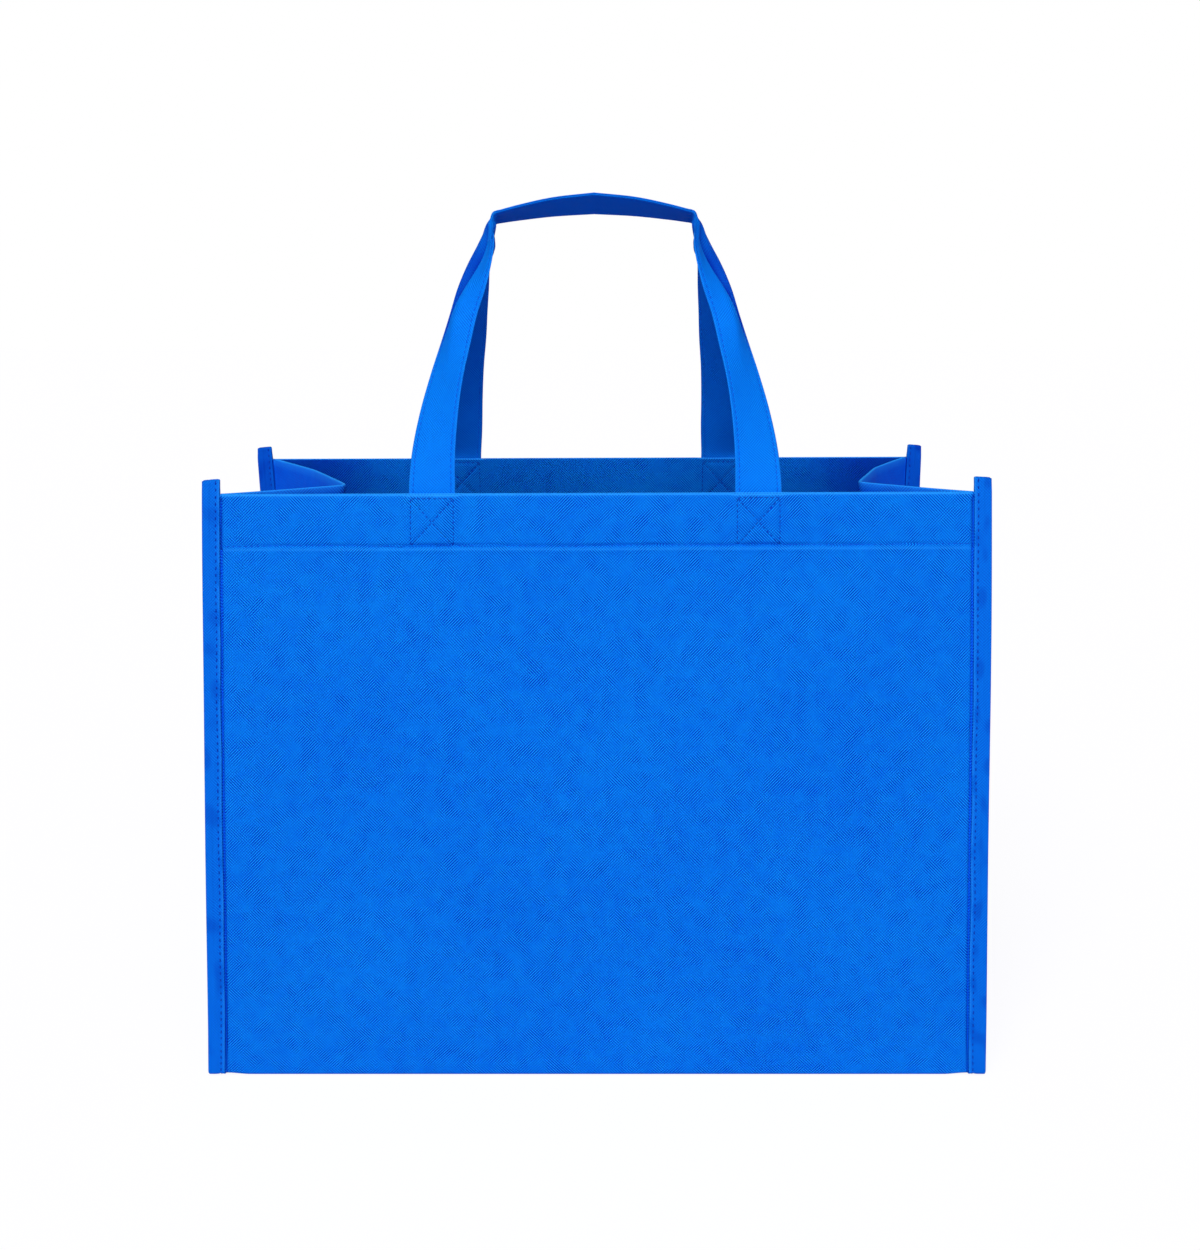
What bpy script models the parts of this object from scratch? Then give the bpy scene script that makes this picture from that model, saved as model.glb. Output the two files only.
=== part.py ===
# Non-woven cloth tote bag, standing open with its two handles drawn together.
# Metres, +Z up, front towards -Y. The bag stands on Z = 0 at the middle of its foot.

import math

import bmesh
import bpy
import numpy as np

# Driving dimensions of the bag
BAG_WIDTH = 0.3994          # across the mouth, over both bindings
FOOT_FLARE = 0.0056         # the foot is this much wider than the mouth
MOUTH_HEIGHT = 0.3003       # floor to the folded mouth edge
GUSSET_DEPTH = 0.170        # front to back at the foot
FRONT_LEAN = 0.0370         # front mouth edge stands this far behind the front foot
BACK_LEAN = 0.0104          # back mouth edge stands this far before the back foot
BACK_SHIFT = -0.0045        # the back mouth edge is pulled this far sideways
BACK_TUCK = 0.0015          # and drawn in this far on each side
LEAN_POWER = 1.5            # how late in its height a wall leans in
FOOT_RADIUS = 0.0050        # soft fold from wall to floor

# Cloth and clearances
CLOTH = 0.0005
CLEARANCE = 0.0003          # between sheets that lie on each other
STRAP_THICKNESS = 0.0010    # the handle strap is a folded and stitched band
HEM_DEPTH = 0.0280          # turned-in cloth at the mouth
HEM_SIDE_RELIEF = 0.0062    # the turned-in hem stops this far short of the gusset's corner
FLOOR_SAG_RUN = 0.0170      # over this run from the seam the floor cloth sinks to the ground

# Seam bindings
TAPE = 0.0006               # thickness of the folded tape
BINDING_WIDTH = 0.0090
TAB_HEIGHT = 0.0072         # the tape's end stands this far over the mouth
TAB_THICKNESS = 0.0016      # pressed flat at its very end

# Gusset pleat, one pair for each side: left, right
PLEAT_DEPTH = (0.0575, 0.0505)      # how far the crease stands in at the mouth
BACK_BEND_DEPTH = (0.0310, 0.0296)  # how far the soft bend behind the crease stands in
CREASE_SHARE_FOOT = 0.367           # crease from the front seam, as a share of the depth there
CREASE_SHARE_MOUTH = (0.220, 0.250)
BEND_SHARE_FOOT = 0.700
BEND_SHARE_MOUTH = 0.640
GUSSET_ROWS = 13                    # rows of the pleat's facets from foot to mouth
FOLD_STEPS = 4                      # facets of the pleat's front half; the back half has twice as many

# Handles
HANDLE_WIDTH = 0.0236
HANDLE_TAIL = 0.0250        # length sewn inside the hem
STRAP_STAND = 0.0030        # the strap stays in line with the hem this far over the mouth
HANDLE_RISE = 0.1332        # mouth edge to the pinch where both handles are gathered
FRONT_SPREAD = 0.0827       # half the distance between a front handle's two ends, on centres
BACK_SPREAD = 0.0778
PINCH_SPREAD = 0.0560       # half the distance between the two pinches
FRONT_HANDLE_SHIFT = -0.0009
BACK_HANDLE_SHIFT = -0.0035
PINCH_SHIFT = -0.0016
PINCH_TUCK = 0.0037         # at the pinch the back handle lies this far inside the front one
GRIP_ARCH = 0.0084          # how much the grip rises from its ends to its middle
STACK_PITCH = 0.0017        # one handle lies on the other at the grip, sheet to sheet

# Values that follow from the sizes above
LIFT = CLEARANCE + TAPE                     # the floor cloth is held this far up at its seams
FLANGE_OFFSET = CLOTH + CLEARANCE           # gusset edge lies on the panel's inner face
SEAM_STACK = 2 * CLOTH + 2 * CLEARANCE      # panel and gusset edge together, with their gaps
HEM_GAP = STRAP_THICKNESS + 2 * CLEARANCE   # room for the strap between panel and hem
HEM_RADIUS = CLOTH + HEM_GAP / 2
FOOT_HALF = GUSSET_DEPTH / 2
GUSSET_INSET = BINDING_WIDTH + CLEARANCE + CLOTH / 2
EDGE_INSET = TAPE + CLEARANCE
PINCH_Y = (FRONT_LEAN - BACK_LEAN) / 2      # the pinch stands over the middle of the mouth
TAPE_BEND = TAPE * 0.8                      # bevel of the tape where it turns round the edge

# Colours as linear RGB
PANEL_BLUE = (0.0, 0.155, 0.84)
GUSSET_BLUE = (0.0, 0.082, 0.66)
TAPE_BLUE = (0.0, 0.120, 0.78)
HANDLE_BLUE = (0.0, 0.180, 0.92)


def height_share(z):
    """Share of the bag's height at z, 0 at the floor cloth and 1 at the mouth."""
    return min(max((z - LIFT) / (MOUTH_HEIGHT - LIFT), 0.0), 1.2)


def front_y(z):
    """Outer face of the front wall: leans back as the height share to LEAN_POWER."""
    return -FOOT_HALF + FRONT_LEAN * height_share(z) ** LEAN_POWER


def back_y(z):
    return FOOT_HALF - BACK_LEAN * height_share(z) ** LEAN_POWER


def mouth_pull(y, z):
    """Share of the hand's pull at a point, grown with height and with distance from the front."""
    depth_share = (y - front_y(z)) / (back_y(z) - front_y(z))
    return min(height_share(z), 1.0) * min(max(depth_share, 0.0), 1.0)


def half_width(y, z):
    """Half the width over the bindings: flared at the foot as the fourth power, tucked at the back."""
    flare = FOOT_FLARE / 2 * (1.0 - min(height_share(z), 1.0)) ** 4
    return BAG_WIDTH / 2 + flare - BACK_TUCK * mouth_pull(y, z)


def centre_x(y, z):
    return BACK_SHIFT * mouth_pull(y, z)


def front_arc_centre():
    z = LIFT + FOOT_RADIUS
    return front_y(z) + FOOT_RADIUS, z


def back_arc_centre():
    z = LIFT + FOOT_RADIUS
    return back_y(z) - FOOT_RADIUS, z


def rim_point(part, value, inward):
    """Point (y, z) of the U-shaped rim, moved inward from the cloth's outer face.

    The rim runs down the front wall, round the foot, along the floor and up the back:
    walls take a height, arcs an angle from 0 at the wall to 90 at the floor, and the
    floor a share from front to back.
    """
    if part == "front":
        return front_y(value) + inward, value
    if part == "back":
        return back_y(value) - inward, value
    if part == "floor":
        start = front_arc_centre()[0]
        end = back_arc_centre()[0]
        return start + (end - start) * value, LIFT + inward
    angle = math.radians(value)
    radius = FOOT_RADIUS - inward
    if part == "front_arc":
        y, z = front_arc_centre()
        return y - radius * math.cos(angle), z - radius * math.sin(angle)
    y, z = back_arc_centre()
    return y + radius * math.cos(angle), z - radius * math.sin(angle)


def rim_stations(top, wall_steps=14, arc_steps=5, floor_steps=8):
    """Stations of the rim from the front at height top, round the foot, to the back."""
    low = LIFT + FOOT_RADIUS
    heights = list(np.linspace(top, low, wall_steps + 1))
    angles = list(np.linspace(0.0, 90.0, arc_steps + 1))
    stations = [("front", z) for z in heights]
    stations += [("front_arc", a) for a in angles[1:]]
    stations += [("floor", f) for f in np.linspace(0.0, 1.0, floor_steps + 1)[1:-1]]
    stations += [("back_arc", a) for a in reversed(angles[1:])]
    stations += [("back", z) for z in reversed(heights)]
    return stations


def make_material(name, colour, roughness):
    material = bpy.data.materials.new(name)
    material.use_nodes = True
    shader = material.node_tree.nodes["Principled BSDF"]
    shader.inputs["Base Color"].default_value = (*colour, 1.0)
    shader.inputs["Roughness"].default_value = roughness
    shader.inputs["Metallic"].default_value = 0.0
    return material


def make_object(name, vertices, faces, material, sharp_angle=40.0):
    mesh = bpy.data.meshes.new(name)
    mesh.from_pydata([tuple(v) for v in vertices], [], faces)
    mesh.materials.append(material)
    edit = bmesh.new()
    edit.from_mesh(mesh)
    bmesh.ops.recalc_face_normals(edit, faces=edit.faces)
    edit.to_mesh(mesh)
    edit.free()
    mesh.shade_smooth()
    mesh.set_sharp_from_angle(angle=math.radians(sharp_angle))
    item = bpy.data.objects.new(name, mesh)
    bpy.context.scene.collection.objects.link(item)
    return item


def grid_faces(rows, columns, start=0):
    """Quads of a grid whose points are stored row by row."""
    faces = []
    for row in range(rows - 1):
        for column in range(columns - 1):
            a = start + row * columns + column
            faces.append((a, a + 1, a + columns + 1, a + columns))
    return faces


def make_walled_grid(name, outer, inner, material):
    """Closed sheet between two grids of points with the same rows and columns."""
    rows, columns = outer.shape[:2]
    count = rows * columns
    vertices = list(outer.reshape(-1, 3)) + list(inner.reshape(-1, 3))
    faces = grid_faces(rows, columns)
    faces += [tuple(reversed(f)) for f in grid_faces(rows, columns, count)]
    border = [c for c in range(columns)]
    border += [r * columns + columns - 1 for r in range(1, rows)]
    border += [(rows - 1) * columns + c for c in range(columns - 2, -1, -1)]
    border += [r * columns for r in range(rows - 2, 0, -1)]
    for here, there in zip(border, border[1:] + border[:1]):
        faces.append((here, there, there + count, here + count))
    return make_object(name, vertices, faces, material)


def add_solidify(item, thickness):
    """Thickness to both sides of a sheet."""
    solidify = item.modifiers.new("Cloth thickness", "SOLIDIFY")
    solidify.thickness = thickness
    solidify.offset = 0.0
    solidify.use_even_offset = True
    solidify.use_quality_normals = True


def body_stations():
    """Stations of the one cloth of front, floor and back, from hem edge to hem edge.

    Each gives the outer and the inner face as (y, z) and how far the cloth stops short
    of the bag's side.
    """
    fold_z = MOUTH_HEIGHT - HEM_RADIUS
    hem_inset = GUSSET_INSET + HEM_SIDE_RELIEF

    def hem(part):
        leg = []
        for z in np.linspace(MOUTH_HEIGHT - HEM_DEPTH, fold_z, 5):
            outer = rim_point(part, z, 2 * CLOTH + HEM_GAP)
            inner = rim_point(part, z, CLOTH + HEM_GAP)
            leg.append((outer, inner, hem_inset))
        inward = 1.0 if part == "front" else -1.0
        base = rim_point(part, fold_z, HEM_RADIUS)[0]
        for angle in (36.0, 72.0, 108.0, 144.0):
            turn = math.radians(angle)
            outer = (base + inward * HEM_RADIUS * math.cos(turn), fold_z + HEM_RADIUS * math.sin(turn))
            inner = (base + inward * HEM_GAP / 2 * math.cos(turn), fold_z + HEM_GAP / 2 * math.sin(turn))
            leg.append((outer, inner, hem_inset))
        return leg

    walls = []
    for part, value in rim_stations(fold_z):
        walls.append((rim_point(part, value, 0.0), rim_point(part, value, CLOTH), EDGE_INSET))
    return hem("front") + walls + list(reversed(hem("back")))


def make_body_panel(material):
    """One cloth: front, floor and back, with both mouth edges hemmed inwards."""
    stations = body_stations()
    seam_column = 1.0 - BINDING_WIDTH / (BAG_WIDTH / 2)
    sag_column = seam_column - FLOOR_SAG_RUN / (BAG_WIDTH / 2)
    inner_columns = list(np.linspace(-sag_column, sag_column, 5))
    columns = np.array([-1.0, -seam_column] + inner_columns + [seam_column, 1.0])
    sag = np.where(np.abs(columns) <= sag_column, 1.0, 0.0)
    outer = np.zeros((len(stations), len(columns), 3))
    inner = np.zeros_like(outer)
    arc_top = LIFT + FOOT_RADIUS
    for row, (outer_point, inner_point, inset) in enumerate(stations):
        for grid, (y, z) in ((outer, outer_point), (inner, inner_point)):
            grid[row, :, 0] = centre_x(y, z) + columns * (half_width(y, z) - inset)
            grid[row, :, 1] = y
            sunk = min(max((arc_top - z) / FOOT_RADIUS, 0.0), 1.0) ** 0.5
            grid[row, :, 2] = z - LIFT * sag * sunk
    panel = make_walled_grid("body_panel", outer, inner, material)
    for side in (-1.0, 1.0):
        cut_strap_slot(panel, "front", side, FRONT_HANDLE_SHIFT + side * FRONT_SPREAD)
        cut_strap_slot(panel, "back", side, BACK_HANDLE_SHIFT + side * BACK_SPREAD)


def cut_strap_slot(panel, face, side, middle_x):
    """Slit in the top of the hem's fold, where a strap comes out between its two layers."""
    half = HANDLE_WIDTH / 2 + CLEARANCE
    vertices = []
    for z in (MOUTH_HEIGHT - 3 * HEM_RADIUS, MOUTH_HEIGHT + 2 * HEM_RADIUS):
        for inward in (CLOTH, CLOTH + HEM_GAP):
            y = rim_point(face, z, inward)[0]
            vertices.append((middle_x - half, y, z))
            vertices.append((middle_x + half, y, z))
    faces = [(0, 1, 3, 2), (4, 6, 7, 5), (0, 4, 5, 1), (2, 3, 7, 6), (0, 2, 6, 4), (1, 5, 7, 3)]
    label = "left" if side < 0 else "right"
    cutter = make_object(f"strap_slot_{face}_{label}", vertices, faces, panel.data.materials[0])
    cutter.hide_render = True
    cutter.display_type = "WIRE"
    cut = panel.modifiers.new(cutter.name, "BOOLEAN")
    cut.operation = "DIFFERENCE"
    cut.solver = "EXACT"
    cut.object = cutter


def pleat_depth(z, at_mouth):
    """Depth of the crease: half of the root of full width squared less wall distance squared.

    The gusset keeps its width while the walls close in, so the crease stands in further
    the higher it is. The result is scaled to the depth at the mouth.
    """
    def natural(height):
        distance = back_y(height) - front_y(height)
        return math.sqrt(max(GUSSET_DEPTH ** 2 - distance ** 2, 0.0)) / 2

    return at_mouth * natural(z) / natural(MOUTH_HEIGHT)


def wall_y(face, z, inward):
    """Where the offset rim passes height z, on the wall or on the foot's arc."""
    arc_y, arc_z = front_arc_centre()
    if face == "back":
        arc_y, arc_z = back_arc_centre()
    if z >= arc_z:
        return rim_point(face, z, inward)[0]
    reach = math.sqrt(max((FOOT_RADIUS - inward) ** 2 - (arc_z - z) ** 2, 0.0))
    return arc_y - reach if face == "front" else arc_y + reach


def gusset_plan(side, z):
    """Plan of the pleated gusset at height z: front corner, crease, soft bend, back corner."""
    inward = FLANGE_OFFSET + CLOTH / 2
    start_y = wall_y("front", z, inward)
    end_y = wall_y("back", z, inward)
    index = 0 if side < 0 else 1
    share = min(height_share(z), 1.0)
    depth = pleat_depth(z, PLEAT_DEPTH[index])
    bend = depth * BACK_BEND_DEPTH[index] / PLEAT_DEPTH[index]
    crease_share = CREASE_SHARE_FOOT + (CREASE_SHARE_MOUTH[index] - CREASE_SHARE_FOOT) * share
    bend_share = BEND_SHARE_FOOT + (BEND_SHARE_MOUTH - BEND_SHARE_FOOT) * share
    run = end_y - start_y
    crease_y = start_y + run * crease_share
    bend_y = start_y + run * bend_share
    points = []
    for t in np.linspace(0.0, 1.0, FOLD_STEPS + 1):
        points.append((depth * t, start_y + (crease_y - start_y) * t))
    for t in np.linspace(0.0, 1.0, 2 * FOLD_STEPS + 1)[1:]:
        first = (1 - t) * (1 - 2 * t)
        middle = 4 * t * (1 - t)
        last = t * (2 * t - 1)
        points.append((first * depth + middle * bend, first * crease_y + middle * bend_y + last * end_y))
    plan = []
    for depth_in, y in points:
        edge = half_width(y, z) - GUSSET_INSET
        plan.append((side * (edge - depth_in) + centre_x(y, z), y))
    return plan


def make_gusset(side, material):
    """Side gusset: a pleated wall with a flange that lies in the binding, hemmed at the mouth."""
    columns = 3 * FOLD_STEPS + 1
    low = LIFT + FLANGE_OFFSET + CLOTH / 2
    arc_top = LIFT + FOOT_RADIUS
    fold_z = MOUTH_HEIGHT - CLOTH / 2
    heights = [low + (arc_top - low) * share ** 1.5 for share in np.linspace(0.0, 1.0, 5)]
    heights += list(np.linspace(arc_top, fold_z, GUSSET_ROWS)[1:])
    vertices = []
    for z in heights:
        vertices += [(x, y, z) for x, y in gusset_plan(side, z)]
    faces = grid_faces(len(heights), columns)

    rim = [row * columns for row in range(len(heights) - 1, -1, -1)]
    rim += list(range(1, columns))
    rim += [row * columns + columns - 1 for row in range(1, len(heights))]
    first = len(vertices)
    for index in rim:
        x, y, z = vertices[index]
        edge = half_width(y, z) - EDGE_INSET
        vertices.append((side * edge + centre_x(y, z), y, z))
    for k in range(len(rim) - 1):
        faces.append((rim[k], rim[k + 1], first + k + 1, first + k))

    hem_columns = list(range(1, columns - 1))
    top_row = (len(heights) - 1) * columns
    hem_start = len(vertices)
    hem_heights = list(np.linspace(fold_z, MOUTH_HEIGHT - HEM_DEPTH, 4))
    for z in hem_heights:
        vertices += [(x, y, z) for x, y in inner_side(gusset_plan(side, z), side)[1:-1]]
    width = len(hem_columns)
    for k in range(width - 1):
        a = top_row + hem_columns[k]
        faces.append((a, a + 1, hem_start + k + 1, hem_start + k))
    faces += grid_faces(len(hem_heights), width, hem_start)
    name = "gusset_left" if side < 0 else "gusset_right"
    gusset = make_object(name, vertices, faces, material)
    add_solidify(gusset, CLOTH)


def inner_side(plan, side):
    """The plan moved to the bag's inside by one cloth and one clearance, mitred at its bends."""
    step = CLOTH + CLEARANCE
    points = np.array(plan)
    run = np.diff(points, axis=0)
    run /= np.linalg.norm(run, axis=1)[:, None]
    normal = np.stack([-run[:, 1], run[:, 0]], axis=1) * side
    before = np.vstack([normal[:1], normal])
    after = np.vstack([normal, normal[-1:]])
    middle = before + after
    middle /= np.linalg.norm(middle, axis=1)[:, None]
    mitre = 1.0 / np.sum(middle * after, axis=1)
    return [tuple(p) for p in points + middle * (step * mitre)[:, None]]


def make_binding(side, material):
    """Tape folded over the seam edge, in one length from front tab round the foot to back tab."""
    outside = -(CLEARANCE + TAPE)
    inside = SEAM_STACK + TAPE + CLEARANCE
    slot_low = -CLEARANCE
    slot_high = SEAM_STACK + CLEARANCE
    section = [
        (BINDING_WIDTH, outside), (TAPE_BEND, outside), (0.0, outside + TAPE_BEND),
        (0.0, inside - TAPE_BEND), (TAPE_BEND, inside), (BINDING_WIDTH, inside),
        (BINDING_WIDTH, slot_high), (TAPE, slot_high), (TAPE, slot_low), (BINDING_WIDTH, slot_low),
    ]
    outline = 6
    middle = (outside + inside) / 2
    flat = TAB_THICKNESS / (inside - outside)

    def place(part, value, points):
        ring = []
        for across, inward in points:
            y, z = rim_point(part, value, inward)
            ring.append((side * (half_width(y, z) - across) + centre_x(y, z), y, z))
        return ring

    ceiling = MOUTH_HEIGHT + CLEARANCE
    stations = rim_stations(ceiling)
    vertices = []
    faces = []
    count = len(section)
    for part, value in stations:
        vertices += place(part, value, section)
    for row in range(len(stations) - 1):
        for k in range(count):
            a = row * count + k
            b = row * count + (k + 1) % count
            faces.append((a, b, b + count, a + count))
    for part, base in (("front", 0), ("back", (len(stations) - 1) * count)):
        faces.append(tuple(base + k for k in range(outline, count)))
        ring = [base + k for k in range(outline)]
        for share in (0.5, 1.0):
            scale = 1.0 + (flat - 1.0) * share
            points = [(a, middle + (b - middle) * scale) for a, b in section[:outline]]
            start = len(vertices)
            vertices += place(part, ceiling + (TAB_HEIGHT - CLEARANCE) * share, points)
            for k in range(outline - 1):
                faces.append((ring[k], ring[k + 1], start + k + 1, start + k))
            closing = [ring[-1], start + outline - 1, start, ring[0]]
            if ring[0] == base:
                closing += [base + count - 1, base + outline]
            faces.append(tuple(closing))
            ring = [start + k for k in range(outline)]
        faces.append(tuple(ring))
    name = "binding_left" if side < 0 else "binding_right"
    make_object(name, vertices, faces, material)


# Each row of a handle from the mouth to the pinch: share of the rise, of the way in
# sideways and of the way to the middle of the bag, then the turn in degrees of the inner
# and of the outer half. The inner edge turns towards the middle of the mouth's outside,
# the outer edge away from it, and where the two turns differ the strap folds lengthways.
FRONT_ROWS = [
    (0.14, 0.007, 0.132, 14, 14),
    (0.28, 0.079, 0.295, 28, 27),
    (0.42, 0.198, 0.464, 38, 39),
    (0.55, 0.268, 0.600, 23, 60),
    (0.66, 0.350, 0.699, 10, 71),
    (0.76, 0.546, 0.796, 25, 64),
    (0.85, 0.775, 0.896, 51, 56),
    (0.93, 0.949, 0.967, 76, 58),
    (1.00, 1.020, 1.000, 85, 70),
]
BACK_ROWS = [
    (0.14, 0.060, 0.112, 15, 15),
    (0.28, 0.132, 0.233, 29, 29),
    (0.42, 0.227, 0.368, 38, 38),
    (0.55, 0.316, 0.506, 44, 44),
    (0.66, 0.420, 0.629, 53, 53),
    (0.76, 0.569, 0.730, 68, 68),
    (0.85, 0.751, 0.814, 85, 85),
    (0.93, 0.899, 0.906, 94, 94),
    (1.00, 1.000, 1.000, 94, 94),
]
# Rows round the pinch, from just above it to the grip's end: for the front edge, the
# middle and the back edge, how far in and how far up, as shares of the strap's width
FRONT_PINCH = [
    ((0.127, 0.185), (0.035, 0.170), (-0.030, 0.182)),
    ((0.161, 0.330), (0.131, 0.305), (0.110, 0.265)),
]
BACK_PINCH = [
    ((0.207, 0.170), (0.161, 0.127), (0.127, 0.085)),
    ((0.237, 0.270), (0.203, 0.215), (0.186, 0.155)),
]
GRIP_END_IN = 0.320                     # the grip proper starts this far in from the pinch
GRIP_END_UP = (0.372, 0.305, 0.250)     # height there of the front edge, the middle, the back edge
GRIP_ARCH_SHARE = (1.00, 0.75, 0.50)    # how much of the arch each of these takes part in
GRIP_SHARES = (0.0, 0.22, 0.55, 1.0)    # rows of the grip from its end to its middle
GRIP_ARCH_POWER = 1.6                   # how flat the grip is in its middle
GRIP_NARROWING = 0.97                   # the gathered strap is this share of its width


def catmull_rom(points, steps):
    """Smooth curve through rows of points, each span of chord-length parameters cut in steps."""
    points = np.array(points, dtype=float)
    padded = np.vstack([2 * points[:1] - points[1:2], points, 2 * points[-1:] - points[-2:-1]])
    gaps = np.sqrt(np.linalg.norm(np.diff(padded.reshape(len(padded), -1), axis=0), axis=1))
    knots = np.concatenate([[0.0], np.cumsum(gaps)])
    rows = []
    for k in range(1, len(padded) - 2):
        t0, t1, t2, t3 = knots[k - 1:k + 3]
        p0, p1, p2, p3 = padded[k - 1:k + 3]
        for step in range(steps):
            t = t1 + (t2 - t1) * step / steps
            a1 = p0 + (p1 - p0) * (t - t0) / (t1 - t0)
            a2 = p1 + (p2 - p1) * (t - t1) / (t2 - t1)
            a3 = p2 + (p3 - p2) * (t - t2) / (t3 - t2)
            b1 = a1 + (a2 - a1) * (t - t0) / (t2 - t0)
            b2 = a2 + (a3 - a2) * (t - t1) / (t3 - t1)
            rows.append(b1 + (b2 - b1) * (t - t1) / (t2 - t1))
    rows.append(padded[-2])
    return np.array(rows)


def half_strap(middle, path_run, turn, outward, forward):
    """Edge of a half strap: level, turned about Z, and as long as its true width asks."""
    angle = math.radians(turn)
    way = np.array([outward * math.cos(angle), outward * forward * math.sin(angle), 0.0])
    reach = HANDLE_WIDTH / 2 / math.sqrt(1.0 - float(way @ path_run) ** 2)
    return middle + way * reach


def rising_rows(face, spread, pinch_spread, table):
    """Rows of (inner edge, middle, outer edge) from inside the hem up to the pinch."""
    forward = 1.0 if face == "front" else -1.0
    middle_inward = CLOTH + CLEARANCE + STRAP_THICKNESS / 2
    base_y = rim_point(face, MOUTH_HEIGHT, middle_inward)[0]
    middles = []
    for drop in (HANDLE_TAIL, HANDLE_TAIL / 2, HEM_RADIUS, 0.0, -STRAP_STAND):
        y, z = rim_point(face, MOUTH_HEIGHT - drop, middle_inward)
        middles.append((spread, y, z))
    turns = [(0.0, 0.0)] * len(middles)
    for rise, way_in, way_back, inner_turn, outer_turn in table:
        x = spread + (pinch_spread - spread) * way_in
        y = base_y + (PINCH_Y - base_y) * way_back
        middles.append((x, y, MOUTH_HEIGHT + HANDLE_RISE * rise))
        turns.append((inner_turn, outer_turn))
    middles = np.array(middles)
    runs = np.gradient(middles, axis=0)
    runs /= np.linalg.norm(runs, axis=1)[:, None]
    rows = []
    for middle, run, (inner_turn, outer_turn) in zip(middles, runs, turns):
        inner = half_strap(middle, run, inner_turn, -1.0, forward)
        outer = half_strap(middle, run, outer_turn, 1.0, forward)
        rows.append([inner, middle, outer])
    return rows


def handle_side_rows(face):
    """Rows of guide points up one side of a handle, for the +X side.

    A tail inside the hem comes first, then the rising strap, the pinch and half the grip.
    A front handle's inner edge becomes the grip's front edge, and a back handle's its back.
    """
    if face == "front":
        rows = rising_rows(face, FRONT_SPREAD, PINCH_SPREAD, FRONT_ROWS)
        pinch, level, order = FRONT_PINCH, 0.0, (0, 1, 2)
    else:
        rows = rising_rows(face, BACK_SPREAD, PINCH_SPREAD - PINCH_TUCK, BACK_ROWS)
        pinch, level, order = BACK_PINCH, STACK_PITCH, (2, 1, 0)
    half = HANDLE_WIDTH / 2 * GRIP_NARROWING
    depths = (PINCH_Y - half, PINCH_Y, PINCH_Y + half)
    top = MOUTH_HEIGHT + HANDLE_RISE
    for points in pinch:
        row = []
        for (way_in, up), y in zip(points, depths):
            row.append((PINCH_SPREAD - way_in * HANDLE_WIDTH, y, top + up * HANDLE_WIDTH))
        rows.append([row[k] for k in order])
    end_x = PINCH_SPREAD - GRIP_END_IN * HANDLE_WIDTH
    for share in GRIP_SHARES:
        arch = GRIP_ARCH * (1.0 - (1.0 - share) ** GRIP_ARCH_POWER)
        row = []
        for y, up, part in zip(depths, GRIP_END_UP, GRIP_ARCH_SHARE):
            row.append((end_x * (1.0 - share), y, top + up * HANDLE_WIDTH + arch * part - level))
        rows.append([row[k] for k in order])
    return rows


def make_handle(face, material):
    """Strap lofted up one side, round the pinch, along the grip and down the other side."""
    shift = FRONT_HANDLE_SHIFT if face == "front" else BACK_HANDLE_SHIFT
    right = catmull_rom(handle_side_rows(face), 2)
    left = right[:-1].copy()
    left[:, :, 0] *= -1.0
    both = np.vstack([left, right[::-1]])
    share = np.clip((both[:, :, 2] - MOUTH_HEIGHT) / HANDLE_RISE, 0.0, 1.0)
    both[:, :, 0] += shift + (PINCH_SHIFT - shift) * share
    weights = np.array([0.0, 1 / 3, 2 / 3])
    across = [both[:, 0] + (both[:, 1] - both[:, 0]) * w for w in weights]
    across += [both[:, 1] + (both[:, 2] - both[:, 1]) * w for w in weights]
    across.append(both[:, 2])
    grid = np.stack(across, axis=1)
    faces = grid_faces(len(grid), grid.shape[1])
    handle = make_object(f"handle_{face}", grid.reshape(-1, 3), faces, material)
    add_solidify(handle, STRAP_THICKNESS)


def build():
    for item in list(bpy.data.objects):
        bpy.data.objects.remove(item, do_unlink=True)
    panel_cloth = make_material("panel_cloth", PANEL_BLUE, 0.75)
    gusset_cloth = make_material("gusset_cloth", GUSSET_BLUE, 0.75)
    binding_tape = make_material("binding_tape", TAPE_BLUE, 0.7)
    handle_strap = make_material("handle_strap", HANDLE_BLUE, 0.72)
    make_body_panel(panel_cloth)
    for side in (-1.0, 1.0):
        make_gusset(side, gusset_cloth)
        make_binding(side, binding_tape)
    for face in ("front", "back"):
        make_handle(face, handle_strap)


build()
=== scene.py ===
import math

import bpy
import numpy as np
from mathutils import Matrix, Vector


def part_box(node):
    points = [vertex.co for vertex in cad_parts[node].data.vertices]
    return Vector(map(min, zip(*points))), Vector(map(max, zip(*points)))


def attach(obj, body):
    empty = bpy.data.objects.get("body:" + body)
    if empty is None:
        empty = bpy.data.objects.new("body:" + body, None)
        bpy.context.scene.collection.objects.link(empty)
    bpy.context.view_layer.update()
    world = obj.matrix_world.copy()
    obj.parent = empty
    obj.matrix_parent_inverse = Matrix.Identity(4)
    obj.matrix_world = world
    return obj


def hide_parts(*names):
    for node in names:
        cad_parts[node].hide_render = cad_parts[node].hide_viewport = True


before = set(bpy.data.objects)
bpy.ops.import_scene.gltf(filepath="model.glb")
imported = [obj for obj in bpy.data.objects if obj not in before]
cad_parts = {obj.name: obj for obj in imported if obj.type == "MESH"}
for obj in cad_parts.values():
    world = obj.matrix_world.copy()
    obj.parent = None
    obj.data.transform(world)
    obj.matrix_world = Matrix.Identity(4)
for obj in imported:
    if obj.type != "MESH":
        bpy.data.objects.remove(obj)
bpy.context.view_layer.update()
bpy.context.scene.view_settings.view_transform = "Standard"

# Everything is in metres, +Z up, with the front of the bag towards -Y.
bodyLow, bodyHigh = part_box("body_panel")
tapeLow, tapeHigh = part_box("binding_right")

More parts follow.
